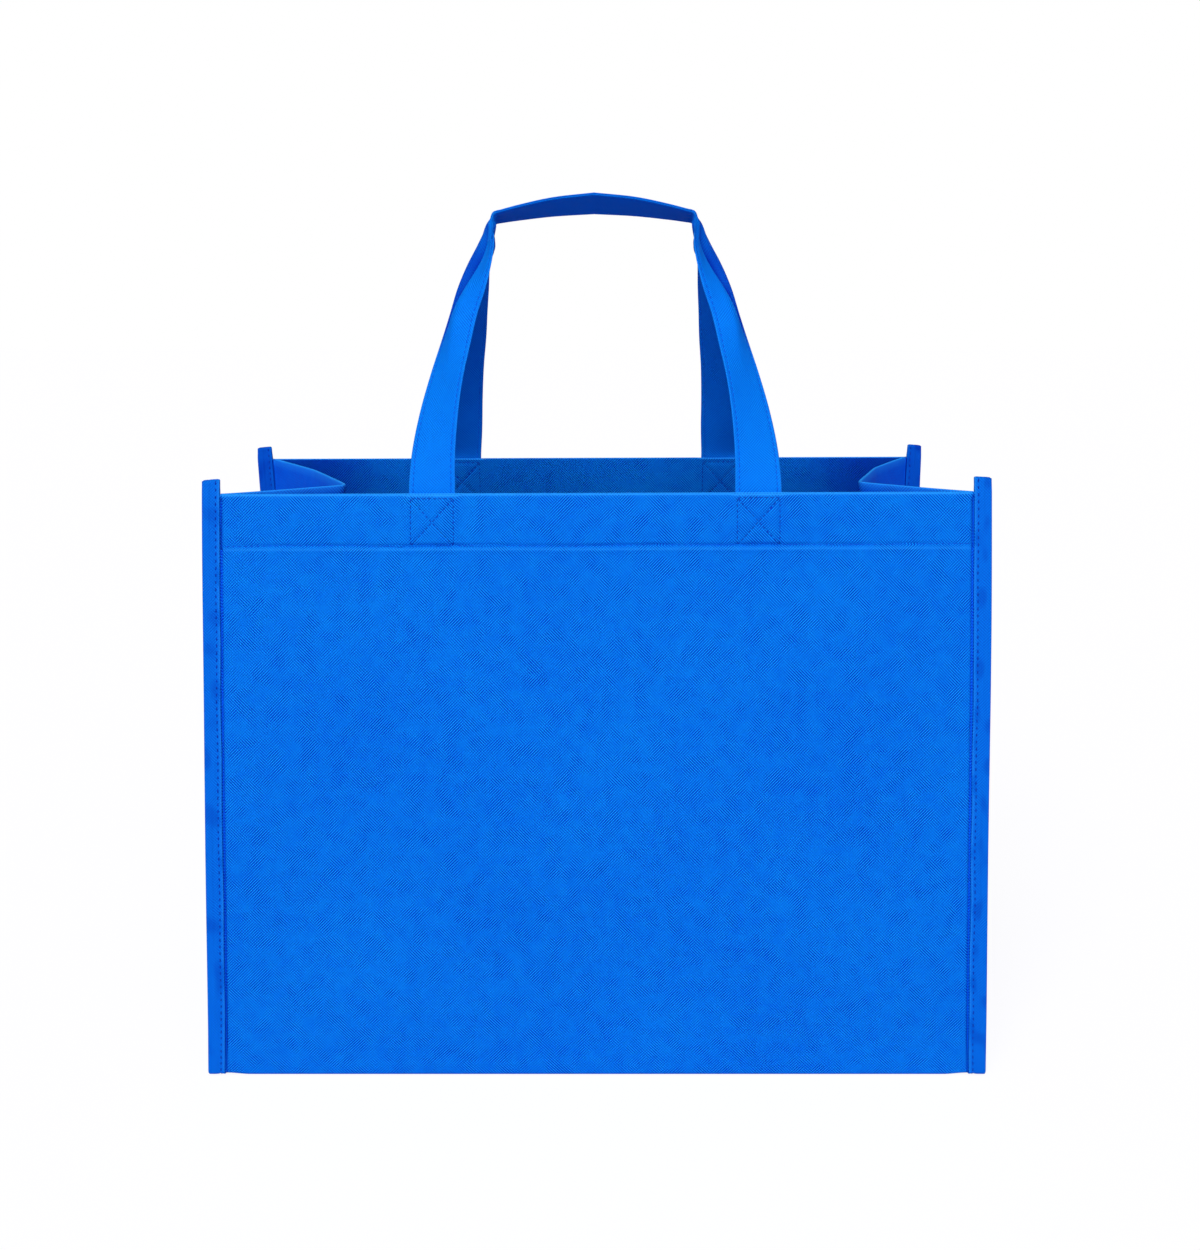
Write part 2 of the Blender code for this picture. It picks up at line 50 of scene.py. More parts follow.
# what the whole bag shares: its walls, its cloth and its seams
bag = dict(
    mouth=bodyHigh.z + 0.0026,   # height of the folded mouth edge
    slope=0.0007,                # the mouth is this much higher at its right end and lower at its left
    frontFoot=bodyLow.y,
    backFoot=bodyHigh.y,
    footHalf=tapeHigh.x + 0.0007,    # half the width at the foot, over the tapes
    flare=0.0031,                # the foot stands out this far on each side
    frontLean=0.0370,            # the mouth's front edge stands this far behind the foot
    backLean=0.0104,
    backShift=-0.0045,           # the back edge is pulled sideways
    backTuck=0.0008,             # and drawn in on each side
    leanPower=1.5,
    footRadius=0.0022,
    lift=0.0009,                 # floor cloth over the ground at its seams
    cloth=0.00045,
    hemDepth=0.028,
    hemStitch=0.0262,            # stitch line under the mouth edge
    tapeWidth=0.0090,
    strapWidth=0.0236,
    frontSpread=0.0827,          # half the distance between a handle's two feet
    backSpread=0.0778,
    frontShift=-0.0009,
    backHandleShift=-0.0035,
)
bag["arcTop"] = bag["lift"] + bag["footRadius"]      # where the foot's curve begins


def softStep(t):
    # 0 below 0, 1 above 1, with a smooth rise between: 3t^2 - 2t^3
    t = np.clip(t, 0.0, 1.0)
    return t * t * (3.0 - 2.0 * t)


def plateau(x, middle, half, soft):
    # 1 within half of the middle, falling smoothly to 0 over the soft distance outside it
    return softStep((half + soft - np.abs(x - middle)) / soft)


def groove(x, middle, half):
    # a valley of depth 1 at the middle, exp(-(distance / half)^2)
    return np.exp(-((x - middle) / half) ** 2)


def ripple(u, v, length, seed, waves=7):
    # sum of plane sine waves of about one wavelength, in seeded directions, scaled to about -1 to 1
    random = np.random.default_rng(seed)
    total = np.zeros(np.broadcast(u, v).shape)
    for k in range(waves):
        angle = random.uniform(0.0, 2.0 * math.pi)
        turn = 2.0 * math.pi / (length * random.uniform(0.7, 1.6))
        total += np.sin(turn * (u * math.cos(angle) + v * math.sin(angle)) + random.uniform(0.0, 6.28))
    return total / waves ** 0.5 / 1.2


def runningSum(steps):
    # length from the start: 0, then the sum of the steps so far
    return np.concatenate([[0.0], np.cumsum(steps)])


def flatGrid(u, v):
    # flat coordinates of a grid whose columns lie at u and whose rows lie at v
    return np.stack(np.broadcast_arrays(u[None, :], v[:, None]), -1)


def halves(w, soft):
    # w split softly at 0 into (root(w^2 + soft^2) - w) / 2 and (root(w^2 + soft^2) + w) / 2
    root = np.sqrt(w * w + soft * soft)
    return (root - w) / 2.0, (root + w) / 2.0


def heightShare(z):
    # 0 at the lifted floor cloth and 1 at the mouth
    return np.clip((z - bag["lift"]) / (bag["mouth"] - bag["lift"]), 0.0, 1.2)


def wallY(face, z):
    # outer face of a wall: it leans in as the share of height to leanPower
    lean = heightShare(z) ** bag["leanPower"]
    if face == "front":
        return bag["frontFoot"] + bag["frontLean"] * lean
    return bag["backFoot"] - bag["backLean"] * lean


def depthShare(y, z):
    # 0 at the front wall and 1 at the back wall, at the same height
    front = wallY("front", z)
    return np.clip((y - front) / (wallY("back", z) - front), 0.0, 1.0)


def halfWidth(y, z):
    # half the width over the tapes: flared near the foot, drawn in towards the back mouth edge
    share = np.minimum(heightShare(z), 1.0)
    flare = bag["flare"] * (1.0 - (1.0 - share) ** 4)
    return bag["footHalf"] - flare - bag["backTuck"] * share * depthShare(y, z)


def centreX(y, z):
    # the bag's middle moves sideways as height share times depth share
    return bag["backShift"] * np.minimum(heightShare(z), 1.0) * depthShare(y, z)


def gridQuads(rows, columns, wrap=False):
    # quads of a grid stored row by row; wrap joins the last column to the first
    last = columns if wrap else columns - 1
    r, c = np.meshgrid(np.arange(rows - 1), np.arange(last), indexing="ij")
    n = (c + 1) % columns
    here, below = r * columns, (r + 1) * columns
    return np.stack([here + c, here + n, below + n, below + c], -1).reshape(-1, 4)


def makeMesh(name, points, quads, cloth, material, flip=False, paintedLight=None):
    # whole arrays into a mesh: corners, quads, the flat cloth's own coordinates as its UV map,
    # and the painted light: positive for a painted highlight on folds and pressed edges, negative for
    # painted shade in gathers, creases and corners
    points = np.array(points, dtype=np.float32).reshape(-1, 3)
    height = np.clip(points[:, 2] / bag["mouth"], 0.0, 1.5)
    points[:, 2] += bag["slope"] * points[:, 0] / bag["footHalf"] * height
    quads = np.asarray(quads, dtype=np.int32)
    if flip:
        quads = quads[:, ::-1]
    mesh = bpy.data.meshes.new(name)
    mesh.vertices.add(len(points))
    mesh.vertices.foreach_set("co", points.ravel())
    mesh.loops.add(quads.size)
    mesh.loops.foreach_set("vertex_index", np.ascontiguousarray(quads).ravel())
    mesh.polygons.add(len(quads))
    mesh.polygons.foreach_set("loop_start", np.arange(0, quads.size, 4, dtype=np.int32))
    mesh.update(calc_edges=True)
    mesh.shade_smooth()
    layer = mesh.uv_layers.new(name="cloth")
    flat = np.asarray(cloth, dtype=np.float32).reshape(-1, 2)[quads.ravel()]
    layer.data.foreach_set("uv", flat.ravel())
    if paintedLight is not None:
        # painted light: positive paints a highlight, negative paints shade
        mask = mesh.attributes.new("paintedLight", "FLOAT", "POINT")
        mask.data.foreach_set("value", np.ascontiguousarray(paintedLight, dtype=np.float32).ravel())
    mesh.materials.append(material)
    item = bpy.data.objects.new(name, mesh)
    bpy.context.scene.collection.objects.link(item)
    return item


def thicken(item, thickness, offset=-1.0):
    # the sheet gets its thickness on one side, or half on each side with offset 0
    solid = item.modifiers.new("Cloth", "SOLIDIFY")
    solid.thickness = thickness
    solid.offset = offset
    solid.use_even_offset = False
    solid.use_quality_normals = True


def settle(item, slot, *nodes):
    # every piece is part of the one body and stands for its solid
    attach(item, "root")
    if nodes:
        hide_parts(*nodes)


# Materials

finish = dict(
    pitch=0.00110, specular=0.04,        # the hatch's spacing and the faint sheen
    panel=dict(colour=(0.0010, 0.187, 0.685), roughness=0.80, emboss=0.00012, mottle=0.42),
    gusset=dict(colour=(0.0010, 0.122, 0.75), roughness=0.80, emboss=0.00010, mottle=0.36),
    tape=dict(colour=(0.0010, 0.158, 0.645), roughness=0.80, emboss=0.00003, mottle=0.15),
    strap=dict(colour=(0.0010, 0.208, 0.76), roughness=0.78, emboss=0.00005, mottle=0.16),
    paintedLight=(0.025, 0.42, 1.0), highlightStrength=0.8,      # painted highlight colour, on folds and pressed edges
    deep=(0.0002, 0.014, 0.35),                  # painted shade colour, in gathers, creases and corners
    threadRoughness=0.60, threadSpecular=0.10, yarnScale=1.5, yarnTones=(0.75, 1.2),
    darkThread=(0.0, 0.050, 0.40), paleThread=(0.0, 0.115, 0.62),
)
weave = dict(
    patch=(70.0, 2.0), patchGain=6.0, patchFrom=-2.5,        # noise (scale, detail) where the hatches change
    strong=(110.0, 3.0), strongGain=2.6, strongFrom=-0.55,   # and where the emboss is strong
    fibre=(1500.0, 3.0, 0.6), fibreStretch=(1.0, 2.6, 1.0), fibreTurn=(0.0, 0.0, 0.6),
    cloud=(130.0, 5.0, 0.62), broad=(9.0, 2.0),
    # weights of the colour's parts; the hatch's weight paints the emboss's glint and shade
    clouds=0.75, fibres=1.2, hatch=1.45, broadShare=0.5,
    swing=(7.0, 1.8, 0.5), swingFrom=(-6.0, -0.8, 0.5),
    roughSwing=0.15, fibreHeight=0.8,
)


def feed(tree, node, inputs):
    # each input takes another node's output or a constant
    for key, value in inputs.items():
        if isinstance(value, bpy.types.NodeSocket):
            tree.links.new(value, node.inputs[key])
        else:
            node.inputs[key].default_value = value


def addNode(tree, kind, inputs, **settings):
    # a node with its settings and inputs; its outputs come back
    node = tree.nodes.new(kind)
    for key, value in settings.items():
        setattr(node, key, value)
    feed(tree, node, inputs)
    return node.outputs


def mathNode(tree, operation, *values, clamp=False):
    # one step of arithmetic on outputs and numbers
    return addNode(tree, "ShaderNodeMath", dict(enumerate(values)), operation=operation, use_clamp=clamp)[0]


def vectorNode(tree, operation, *values):
    # the same for three numbers at once
    return addNode(tree, "ShaderNodeVectorMath", dict(enumerate(values)), operation=operation)[0]


def mixNode(tree, share, first, second):
    # the first colour where the share is 0 and the second where it is 1
    return addNode(tree, "ShaderNodeMix", {0: share, 6: first, 7: second}, data_type="RGBA")[2]


def newMaterial(name):
    material = bpy.data.materials.new(name)
    material.use_nodes = True
    return material, material.node_tree, material.node_tree.nodes["Principled BSDF"]


def buildNonWoven():
    # bonded fibre cloth: two diagonal embossed hatches that take turns in patches, cloudy colour
    # and fine fibres; a hatch = sin(2 pi * (x +- y) * root(1/2) / pitch)
    group = bpy.data.node_groups.new("nonWovenCloth", "ShaderNodeTree")
    for way, labels in (("INPUT", ("Vector", "Colour", "Pitch", "Mottle", "Roughness")),
                        ("OUTPUT", ("Colour", "Roughness", "Height"))):
        for label in labels:
            kind = {"Vector": "Vector", "Colour": "Color"}.get(label, "Float")
            group.interface.new_socket(label, in_out=way, socket_type="NodeSocket" + kind)
    vector, colour, pitch, mottle, rough = group.nodes.new("NodeGroupInput").outputs[:5]

    def times(first, second):
        return mathNode(group, "MULTIPLY", first, second)

    def plus(first, second):
        return mathNode(group, "ADD", first, second)

    def minus(first, second):
        return mathNode(group, "SUBTRACT", first, second)

    def noise(place, scale, detail, roughness=0.5):
        inputs = {"Vector": place, "Scale": scale, "Detail": detail, "Roughness": roughness}
        return addNode(group, "ShaderNodeTexNoise", inputs)["Fac"]

    def window(name):
        # noise * gain + offset, held between 0 and 1
        gain, offset = weave[name + "Gain"], weave[name + "From"]
        return mathNode(group, "MULTIPLY_ADD", noise(vector, *weave[name]), gain, offset, clamp=True)

    x, y = addNode(group, "ShaderNodeSeparateXYZ", {0: vector})[:2]
    turn = mathNode(group, "DIVIDE", 2.0 * math.pi * 0.7071, pitch)
    rising = mathNode(group, "SINE", times(plus(x, y), turn))
    falling = mathNode(group, "SINE", times(minus(x, y), turn))
    patch = window("patch")
    hatch = plus(times(rising, patch), times(falling, minus(1.0, patch)))
    hatch = times(hatch, window("strong"))
    stretched = {"Vector": vector, "Scale": weave["fibreStretch"], "Rotation": weave["fibreTurn"]}
    fibres = noise(addNode(group, "ShaderNodeMapping", stretched)[0], *weave["fibre"])

    # shade = 1 + mottle * (clouds + fibres + hatch + broad light and dark), all about their middles
    parts = times(minus(noise(vector, *weave["cloud"]), 0.5), weave["clouds"])
    parts = plus(parts, times(minus(fibres, 0.5), weave["fibres"]))
    # the hatch's part is painted glint and shade of the embossed hatch
    parts = plus(parts, times(hatch, weave["hatch"]))
    parts = plus(parts, times(minus(noise(vector, *weave["broad"]), 0.5), weave["broadShare"]))
    shade = plus(times(parts, mottle), 1.0)
    # the shade works on each primary with its own strength: colour * (shade * swing + offset), so that each
    # change moves the three primaries about alike, like a painted whitish glint
    swing = vectorNode(group, "MULTIPLY_ADD", shade, weave["swing"], weave["swingFrom"])
    tinted = vectorNode(group, "MULTIPLY", colour, swing)
    feed(group, group.nodes.new("NodeGroupOutput"), {
        "Colour": vectorNode(group, "MAXIMUM", tinted),
        "Roughness": plus(rough, times(parts, weave["roughSwing"])),
        "Height": plus(hatch, times(fibres, weave["fibreHeight"]))})
    return group


nonWoven = buildNonWoven()


def clothMaterial(name, look):
    # the non-woven cloth's colour with painted light from its attribute: mixed towards a pale colour
    # as a painted highlight where it is positive, and towards a dark colour as painted shade where it is
    # negative
    material, tree, shader = newMaterial(name)
    flat = addNode(tree, "ShaderNodeUVMap", {}, uv_map="cloth")[0]
    cloth = addNode(tree, "ShaderNodeGroup", {
        "Vector": flat, "Colour": (*look["colour"], 1.0), "Pitch": finish["pitch"],
        "Mottle": look["mottle"], "Roughness": look["roughness"]}, node_tree=nonWoven)
    paintedLight = addNode(tree, "ShaderNodeAttribute", {}, attribute_name="paintedLight")["Fac"]
    highlightAmount = mathNode(tree, "MULTIPLY", paintedLight, finish["highlightStrength"], clamp=True)
    shadeAmount = mathNode(tree, "MULTIPLY", paintedLight, -1.0, clamp=True)
    colour = mixNode(tree, highlightAmount, cloth["Colour"], (*finish["paintedLight"], 1.0))
    bump = {"Strength": 1.0, "Distance": look["emboss"], "Height": cloth["Height"]}
    feed(tree, shader, {
        "Base Color": mixNode(tree, shadeAmount, colour, (*finish["deep"], 1.0)),
        "Specular IOR Level": finish["specular"], "Roughness": cloth["Roughness"],
        "Normal": addNode(tree, "ShaderNodeBump", bump)[0]})
    return material


def threadMaterial(name):
    # twisted yarn: bands of light and dark along the stitch
    material, tree, shader = newMaterial(name)
    flat = addNode(tree, "ShaderNodeUVMap", {}, uv_map="cloth")[0]
    wave = {"Vector": flat, "Scale": finish["yarnScale"]}
    bands = addNode(tree, "ShaderNodeTexWave", wave, bands_direction="DIAGONAL")["Fac"]
    dark, light = ((*[part * tone for part in finish[name]], 1.0) for tone in finish["yarnTones"])
    feed(tree, shader, {
        "Base Color": mixNode(tree, bands, dark, light),
        "Specular IOR Level": finish["threadSpecular"], "Roughness": finish["threadRoughness"]})
    return material


panelCloth = clothMaterial("panelCloth", finish["panel"])
gussetCloth = clothMaterial("gussetCloth", finish["gusset"])
bindingTape = clothMaterial("bindingTape", finish["tape"])
handleStrap = clothMaterial("handleStrap", finish["strap"])
darkThread = threadMaterial("darkThread")
paleThread = threadMaterial("paleThread")

# Camera, backdrop and lamps

view = dict(
    place=(0.0, -0.678, 0.414),
    pitchDown=10.89,             # degrees below the horizon
    lens=36.4,
    shift=(0.0024, -0.09),
    sunStrength=1.8, sunAngle=44.0, sunFrom=(-14.0, 50.0),   # degrees to the left, and above the horizon
    skyAround=0.13, skyFront=1.12, frontPower=2.2,       # even light, and more of it from the viewer's side
    lowBox=1.5, lowBoxHeight=0.20,       # a soft box in front, close to the horizon
    softTint=(0.80, 0.74, 1.16),         # the soft light is cooler than the key light
    floorSize=12.0, floorTone=0.58, floorSeen=0.16, floorGlow=0.893,
)


def makeCamera():
    # a level camera turned down by pitchDown
    data = bpy.data.cameras.new("camera")
    camera = bpy.data.objects.new("camera", data)
    bpy.context.scene.collection.objects.link(camera)
    camera.location = view["place"]
    camera.rotation_euler = (math.radians(90.0 - view["pitchDown"]), 0.0, 0.0)
    data.lens = view["lens"]
    data.sensor_width = 36.0
    data.shift_x, data.shift_y = view["shift"]
    data.clip_start, data.clip_end = 0.01, 50.0
    bpy.context.scene.camera = camera


def seenShare(tree):
    # 1 for rays that show the backdrop, 0 for those that only light the bag
    path = tree.nodes.new("ShaderNodeLightPath").outputs
    seen = mathNode(tree, "MAXIMUM", path["Is Camera Ray"], path["Is Glossy Ray"])
    return mathNode(tree, "MAXIMUM", seen, path["Is Transmission Ray"])


def makeBackdrop():
    # light from one direction = around + (front + low box * exp(-(height / its height)^2))
    # * (how far it comes from the front) ^ power
    white = (1.0, 1.0, 1.0, 1.0)
    world = bpy.data.worlds.new("softRoom")
    bpy.context.scene.world = world
    world.use_nodes = True
    tree = world.node_tree
    way = tree.nodes.new("ShaderNodeTexCoord").outputs["Generated"]
    apart = addNode(tree, "ShaderNodeSeparateXYZ", {0: way})
    height = mathNode(tree, "DIVIDE", apart[2], view["lowBoxHeight"])
    falloff = mathNode(tree, "MULTIPLY", mathNode(tree, "MULTIPLY", height, height), -1.0)
    low = mathNode(tree, "MULTIPLY", mathNode(tree, "EXPONENT", falloff), view["lowBox"])
    front = mathNode(tree, "MULTIPLY", apart[1], -1.0, clamp=True)
    front = mathNode(tree, "POWER", front, view["frontPower"])
    front = mathNode(tree, "MULTIPLY", front, mathNode(tree, "ADD", low, view["skyFront"]))
    light = mathNode(tree, "ADD", front, view["skyAround"])
    cool = addNode(tree, "ShaderNodeVectorMath", {0: view["softTint"], "Scale": light}, operation="SCALE")[0]
    feed(tree, tree.nodes["Background"], {"Color": mixNode(tree, seenShare(tree), cool, white)})

    half = view["floorSize"] / 2.0
    corners = np.array([(-half, -half, 0.0), (half, -half, 0.0), (half, half, 0.0), (-half, half, 0.0)])
    paper, tree, shader = newMaterial("paleFloor")
    seen = seenShare(tree)
    tone = (*[view["floorTone"] * part for part in view["softTint"]], 1.0)
    feed(tree, shader, {
        "Base Color": mixNode(tree, seen, tone, (*[view["floorSeen"]] * 3, 1.0)),
        "Specular IOR Level": 0.0, "Roughness": 1.0, "Emission Color": white,
        "Emission Strength": mathNode(tree, "MULTIPLY", seen, view["floorGlow"])})
    floor = makeMesh("floor", corners, [[0, 1, 2, 3]], corners[:, :2], paper)


def makeLamps():
    # one broad sun, turned to the left and tipped by its height over the horizon
    sun = bpy.data.lights.new("softKey", "SUN")
    sun.energy = view["sunStrength"]
    sun.angle = math.radians(view["sunAngle"])
    lamp = bpy.data.objects.new("softKey", sun)
    bpy.context.scene.collection.objects.link(lamp)
    side, up = (math.radians(a) for a in view["sunFrom"])
    lamp.rotation_euler = (math.pi / 2.0 - up, 0.0, side)


makeCamera()
makeBackdrop()
makeLamps()
print("camera, backdrop and lamps made")

# Sewing thread: every stitch is a short rounded bar whose ends dive into the cloth

seam = dict(
    sides=6,
    hem=dict(pitch=0.0031, length=0.0027, radius=0.00021, material=paleThread),
    box=dict(pitch=0.0026, length=0.0022, radius=0.00024, material=darkThread),
    tape=dict(pitch=0.0036, length=0.0021, radius=0.00034, material=darkThread),
    strap=dict(pitch=0.0031, length=0.0027, radius=0.00023, material=paleThread),
)


def stitchPlaces(points, normals, pitch):
    # middles, directions and normals of the stitches of one seam, evenly spaced along it
    along = runningSum(np.linalg.norm(np.diff(points, axis=0), axis=1))
    count = max(int(along[-1] / pitch), 1)
    middles = (np.arange(count) + 0.5) * along[-1] / count

    def at(values, places):
        return np.stack([np.interp(places, along, values[:, k]) for k in range(3)], -1)

    ahead = at(points, middles + pitch * 0.3) - at(points, middles - pitch * 0.3)
    ahead = ahead / np.linalg.norm(ahead, axis=1, keepdims=True)
    normal = at(normals, middles)
    normal = normal - ahead * np.sum(normal * ahead, axis=1, keepdims=True)
    return at(points, middles), ahead, normal / np.linalg.norm(normal, axis=1, keepdims=True)


def makeThread(name, seams, shape, slot):
    # rings of one bar repeated for all stitches: place + ahead * length * t + (normal and side)
    # * radius * ring, with the bar's middle raised and its ends sunk as t squared
    t = np.array([-0.5, -0.34, 0.0, 0.34, 0.5])
    ring = np.array([0.35, 0.95, 1.0, 0.95, 0.35])
    turn = np.arange(seam["sides"]) * 2.0 * math.pi / seam["sides"]
    places = [stitchPlaces(np.asarray(a, float), np.asarray(b, float), shape["pitch"]) for a, b in seams]
    middle, ahead, normal = (np.concatenate(part) for part in zip(*places))
    side = np.cross(ahead, normal)
    radius = shape["radius"]
    lift = radius * (0.40 - 5.2 * t ** 2)
    random = np.random.default_rng(len(middle))
    length = shape["length"] * random.uniform(0.85, 1.08, len(middle))
    up = lift[:, None] + radius * ring[:, None] * np.cos(turn)
    out = radius * ring[:, None] * np.sin(turn)
    points = (middle[:, None, None] + ahead[:, None, None] * (length[:, None] * t)[:, :, None, None]
              + normal[:, None, None] * up[None, :, :, None] + side[:, None, None] * out[None, :, :, None])
    one = gridQuads(len(t), seam["sides"], wrap=True)
    quads = (one[None] + (np.arange(len(middle)) * len(t) * seam["sides"])[:, None, None]).reshape(-1, 4)
    # flat coordinates: millimetres along the stitch, and the turn round it
    flat = flatGrid(turn, t * shape["length"] * 1000.0)
    flat = np.broadcast_to(flat[:, :, ::-1], (len(middle), *flat.shape))
    item = makeMesh(name, points, quads, flat, shape["material"])
    settle(item, slot)
    print(name, "made,", len(middle), "stitches")


# Body cloth: one length for front, floor and back, with both mouth edges turned in

body = dict(
    columns=210, legRows=14, foldRows=7, hemRows=48, backHemRows=26, wallRows=40, arcRows=7, floorRows=12,
    fine=0.00068,                # column spacing over the straps
    hemGap=0.00035,              # pressed hem
    strapGap=0.0012,             # hem held open by a strap between its layers
    strapBulge=0.00050,          # the strap shows through the front layer
    hemGroove=0.00100, hemHalf=0.00085,
    puff=0.00055, puffAt=0.013, puffHalf=0.009,  # the doubled hem over its stitches
    ridge=0.00030, ridgeAt=0.0022, ridgeHalf=0.0011,     # the hem's cut edge under them
    seamGroove=0.00058, seamHalf=0.0009,
    furrow=0.00170, furrowHalf=0.00065,  # the panel dips where the tape's edge presses on it
    waveDepth=0.0011, waveLength=0.16,
    backHalf=0.168, cornerFrom=0.094, cornerFade=0.045,
    # painted shade: on the back's turned-in layer, in its corners behind the pleats and in the furrow beside
    # each tape
    innerShade=0.12, cornerShade=0.60, furrowShade=0.85,
    edgeInset=0.0009,            # the cloth's cut edge inside the tape
    highlightFall=0.0004, highlightLine=0.3,       # painted highlight: it fades down from the fold, with a painted highlight line under the stitch
)
box = dict(
    half=0.0108,                 # half the width of the crossed box that holds a strap's end
    top=0.0026, bottom=0.0262,   # under the mouth edge
)


def strapMiddles(face):
    # where a handle's two ends are sewn in: its shift less and plus its spread
    spread = bag["frontSpread"] if face == "front" else bag["backSpread"]
    shift = bag["frontShift"] if face == "front" else bag["backHandleShift"]
    return shift - spread, shift + spread


def overStrap(face, x, soft=0.004):
    # 1 where a strap lies inside the hem
    left, right = strapMiddles(face)
    half = bag["strapWidth"] / 2.0
    return plateau(x, left, half, soft) + plateau(x, right, half, soft)


def hemGap(face, x):
    # the pressed hem's gap, wider where a strap lies in it
    return body["hemGap"] + (body["strapGap"] - body["hemGap"]) * overStrap(face, x)


def boxSeams(face):
    # the stitch lines that hold the straps' ends: a box and its two diagonals for each end,
    # as pairs of end points (x, distance under the mouth edge)
    seams = []
    for middle in strapMiddles(face):
        left, right = middle - box["half"], middle + box["half"]
        top, bottom = box["top"], box["bottom"]
        seams += [((left, top), (right, top)), ((right, top), (right, bottom)),
                  ((right, bottom), (left, bottom)), ((left, bottom), (left, top)),
                  ((left, top), (right, bottom)), ((right, top), (left, bottom))]
    return seams


def seamDip(face, x, under):
    # a groove along the boxes' stitch lines, by the distance to the nearest of them
    nearest = np.full(np.broadcast(x, under).shape, 1.0)
    for (x0, d0), (x1, d1) in boxSeams(face):
        length = (x1 - x0) ** 2 + (d1 - d0) ** 2
        share = np.clip(((x - x0) * (x1 - x0) + (under - d0) * (d1 - d0)) / length, 0.0, 1.0)
        nearest = np.minimum(nearest, np.hypot(x - x0 - share * (x1 - x0), under - d0 - share * (d1 - d0)))
    return body["seamGroove"] * groove(nearest, 0.0, body["seamHalf"])


def hemLine(face, x):
    # how far under the mouth edge the hem's stitches run, never quite straight
    return bag["hemStitch"] + 0.0004 * ripple(x, 0.0 * x, 0.09, 5 if face == "front" else 6)


def wallRelief(face, x, z):
    # how far the wall stands out: slow waves that die at its rim, a groove at the hem stitch,
    # a slight puff of the doubled hem, and the strap that shows through with its crossed seams
    share = np.clip(heightShare(z), 0.0, 1.0)
    across = np.clip(1.0 - (np.abs(x) / (bag["footHalf"] - bag["tapeWidth"])) ** 6, 0.0, 1.0)
    calm = across * softStep(share * 5.0) * softStep((1.0 - share) * 9.0 + 0.15)
    waves = body["waveDepth"] * ripple(x, z, body["waveLength"], 3 if face == "front" else 8) * calm
    under = bag["mouth"] - z
    stitch = hemLine(face, x)
    depth = 1.0 + 0.35 * ripple(x, 0.0 * x, 0.02, 15)
    hem = -body["hemGroove"] * depth * groove(under, stitch, body["hemHalf"]) * across
    hem = hem + body["puff"] * groove(under, stitch - body["puffAt"], body["puffHalf"]) * across
    ridge = body["ridge"] * groove(under, stitch + body["ridgeAt"], body["ridgeHalf"])
    hem = hem + ridge * depth * across
    strap = body["strapBulge"] * overStrap(face, x, 0.0016) * softStep((stitch - under) / 0.003)
    y = wallY(face, z)
    fromTape = halfWidth(y, z) - bag["tapeWidth"] - np.abs(x - centreX(y, z))
    furrow = -body["furrow"] * groove(fromTape, 0.0007, body["furrowHalf"])
    furrow = furrow * softStep((under - 0.0015) / 0.003) * softStep(z / 0.02)
    return waves + hem + strap - seamDip(face, x, under) + furrow


def spacedColumns(count):
    # shares from -1 to 1 across the bag, drawn together over the straps and beside the tapes:
    # the running sum of the wanted density, cut into equal steps
    half = bag["footHalf"] - bag["flare"]
    x = np.linspace(-1.0, 1.0, 4001) * half
    dense = np.zeros_like(x)
    for face in ("front", "back"):
        for middle in strapMiddles(face):
            dense = np.maximum(dense, plateau(x, middle, bag["strapWidth"] / 2.0 + 0.0012, 0.003))
    dense = np.maximum(dense, plateau(np.abs(x), half - bag["tapeWidth"], 0.0012, 0.002))
    wanted = 1.0 / body["fine"] * dense
    spare = (count - 1 - np.trapz(wanted, x)) / np.trapz(1.0 - dense, x)
    density = wanted + spare * (1.0 - dense)
    total = runningSum((density[1:] + density[:-1]) / 2.0 * np.diff(x))
    return np.interp(np.linspace(0.0, total[-1], count), total, x) / half


def foldedWall(face, across):
    # rows from the hem's inner cut edge over the fold and down to the foot's curve, and the painted
    # highlight of each row; the fold is a half circle whose radius is the cloth and half its gap
    sign = 1.0 if face == "front" else -1.0

    def trueX(y, z):
        return centreX(y, z) + across * (halfWidth(y, z) - body["edgeInset"])

    mouthX = trueX(wallY(face, bag["mouth"]), bag["mouth"])
    radius = bag["cloth"] + hemGap(face, mouthX) / 2.0
    foldZ = bag["mouth"] - radius
    hemLow = bag["mouth"] - bag["hemDepth"]
    share = np.linspace(0.0, 1.0, body["legRows"] if face == "front" else body["legRows"] * 2)[:, None]
    legZ = hemLow + (foldZ - hemLow) * share
    ruffle = 0.0003 * np.sin(mouthX / 0.0068) * (1.0 - share) ** 2
    dip = seamDip(face, mouthX, bag["mouth"] - legZ)
    legY = wallY(face, legZ) + sign * (2.0 * radius + ruffle - dip)
    angle = np.linspace(0.0, math.pi, body["foldRows"] + 2)[1:-1, None]
    foldY = wallY(face, foldZ) + sign * radius * (1.0 + np.cos(angle))
    foldZs = foldZ + radius * np.sin(angle)
    hemFoot = bag["mouth"] - bag["hemDepth"] - 0.004
    nearRows = body["hemRows"] if face == "front" else body["backHemRows"]
    near = foldZ + (hemFoot - foldZ) * np.linspace(0.0, 1.0, nearRows)[:, None]
    far = hemFoot + (bag["arcTop"] - hemFoot) * np.linspace(0.0, 1.0, body["wallRows"])[1:, None]
    wallZ = np.vstack([near, far + 0.0 * mouthX])
    flatY = wallY(face, wallZ)
    relief = wallRelief(face, trueX(flatY, wallZ), wallZ) * softStep((foldZ - wallZ) / 0.002)
    # painted highlight over the fold, fading down from it, and a painted highlight line under the stitch
    under = (bag["mouth"] - near).mean(axis=1)
    below = np.exp(-(under - radius.mean()) / body["highlightFall"])
    below = below + body["highlightLine"] * groove(under, bag["hemStitch"] + 0.0017, 0.0006)
    paintedLight = np.concatenate([np.zeros(len(legZ)), np.sin(angle[:, 0]), below, np.zeros(len(far))])
    return np.vstack([legY, foldY, flatY - sign * relief]), np.vstack([legZ, foldZs, wallZ]), paintedLight


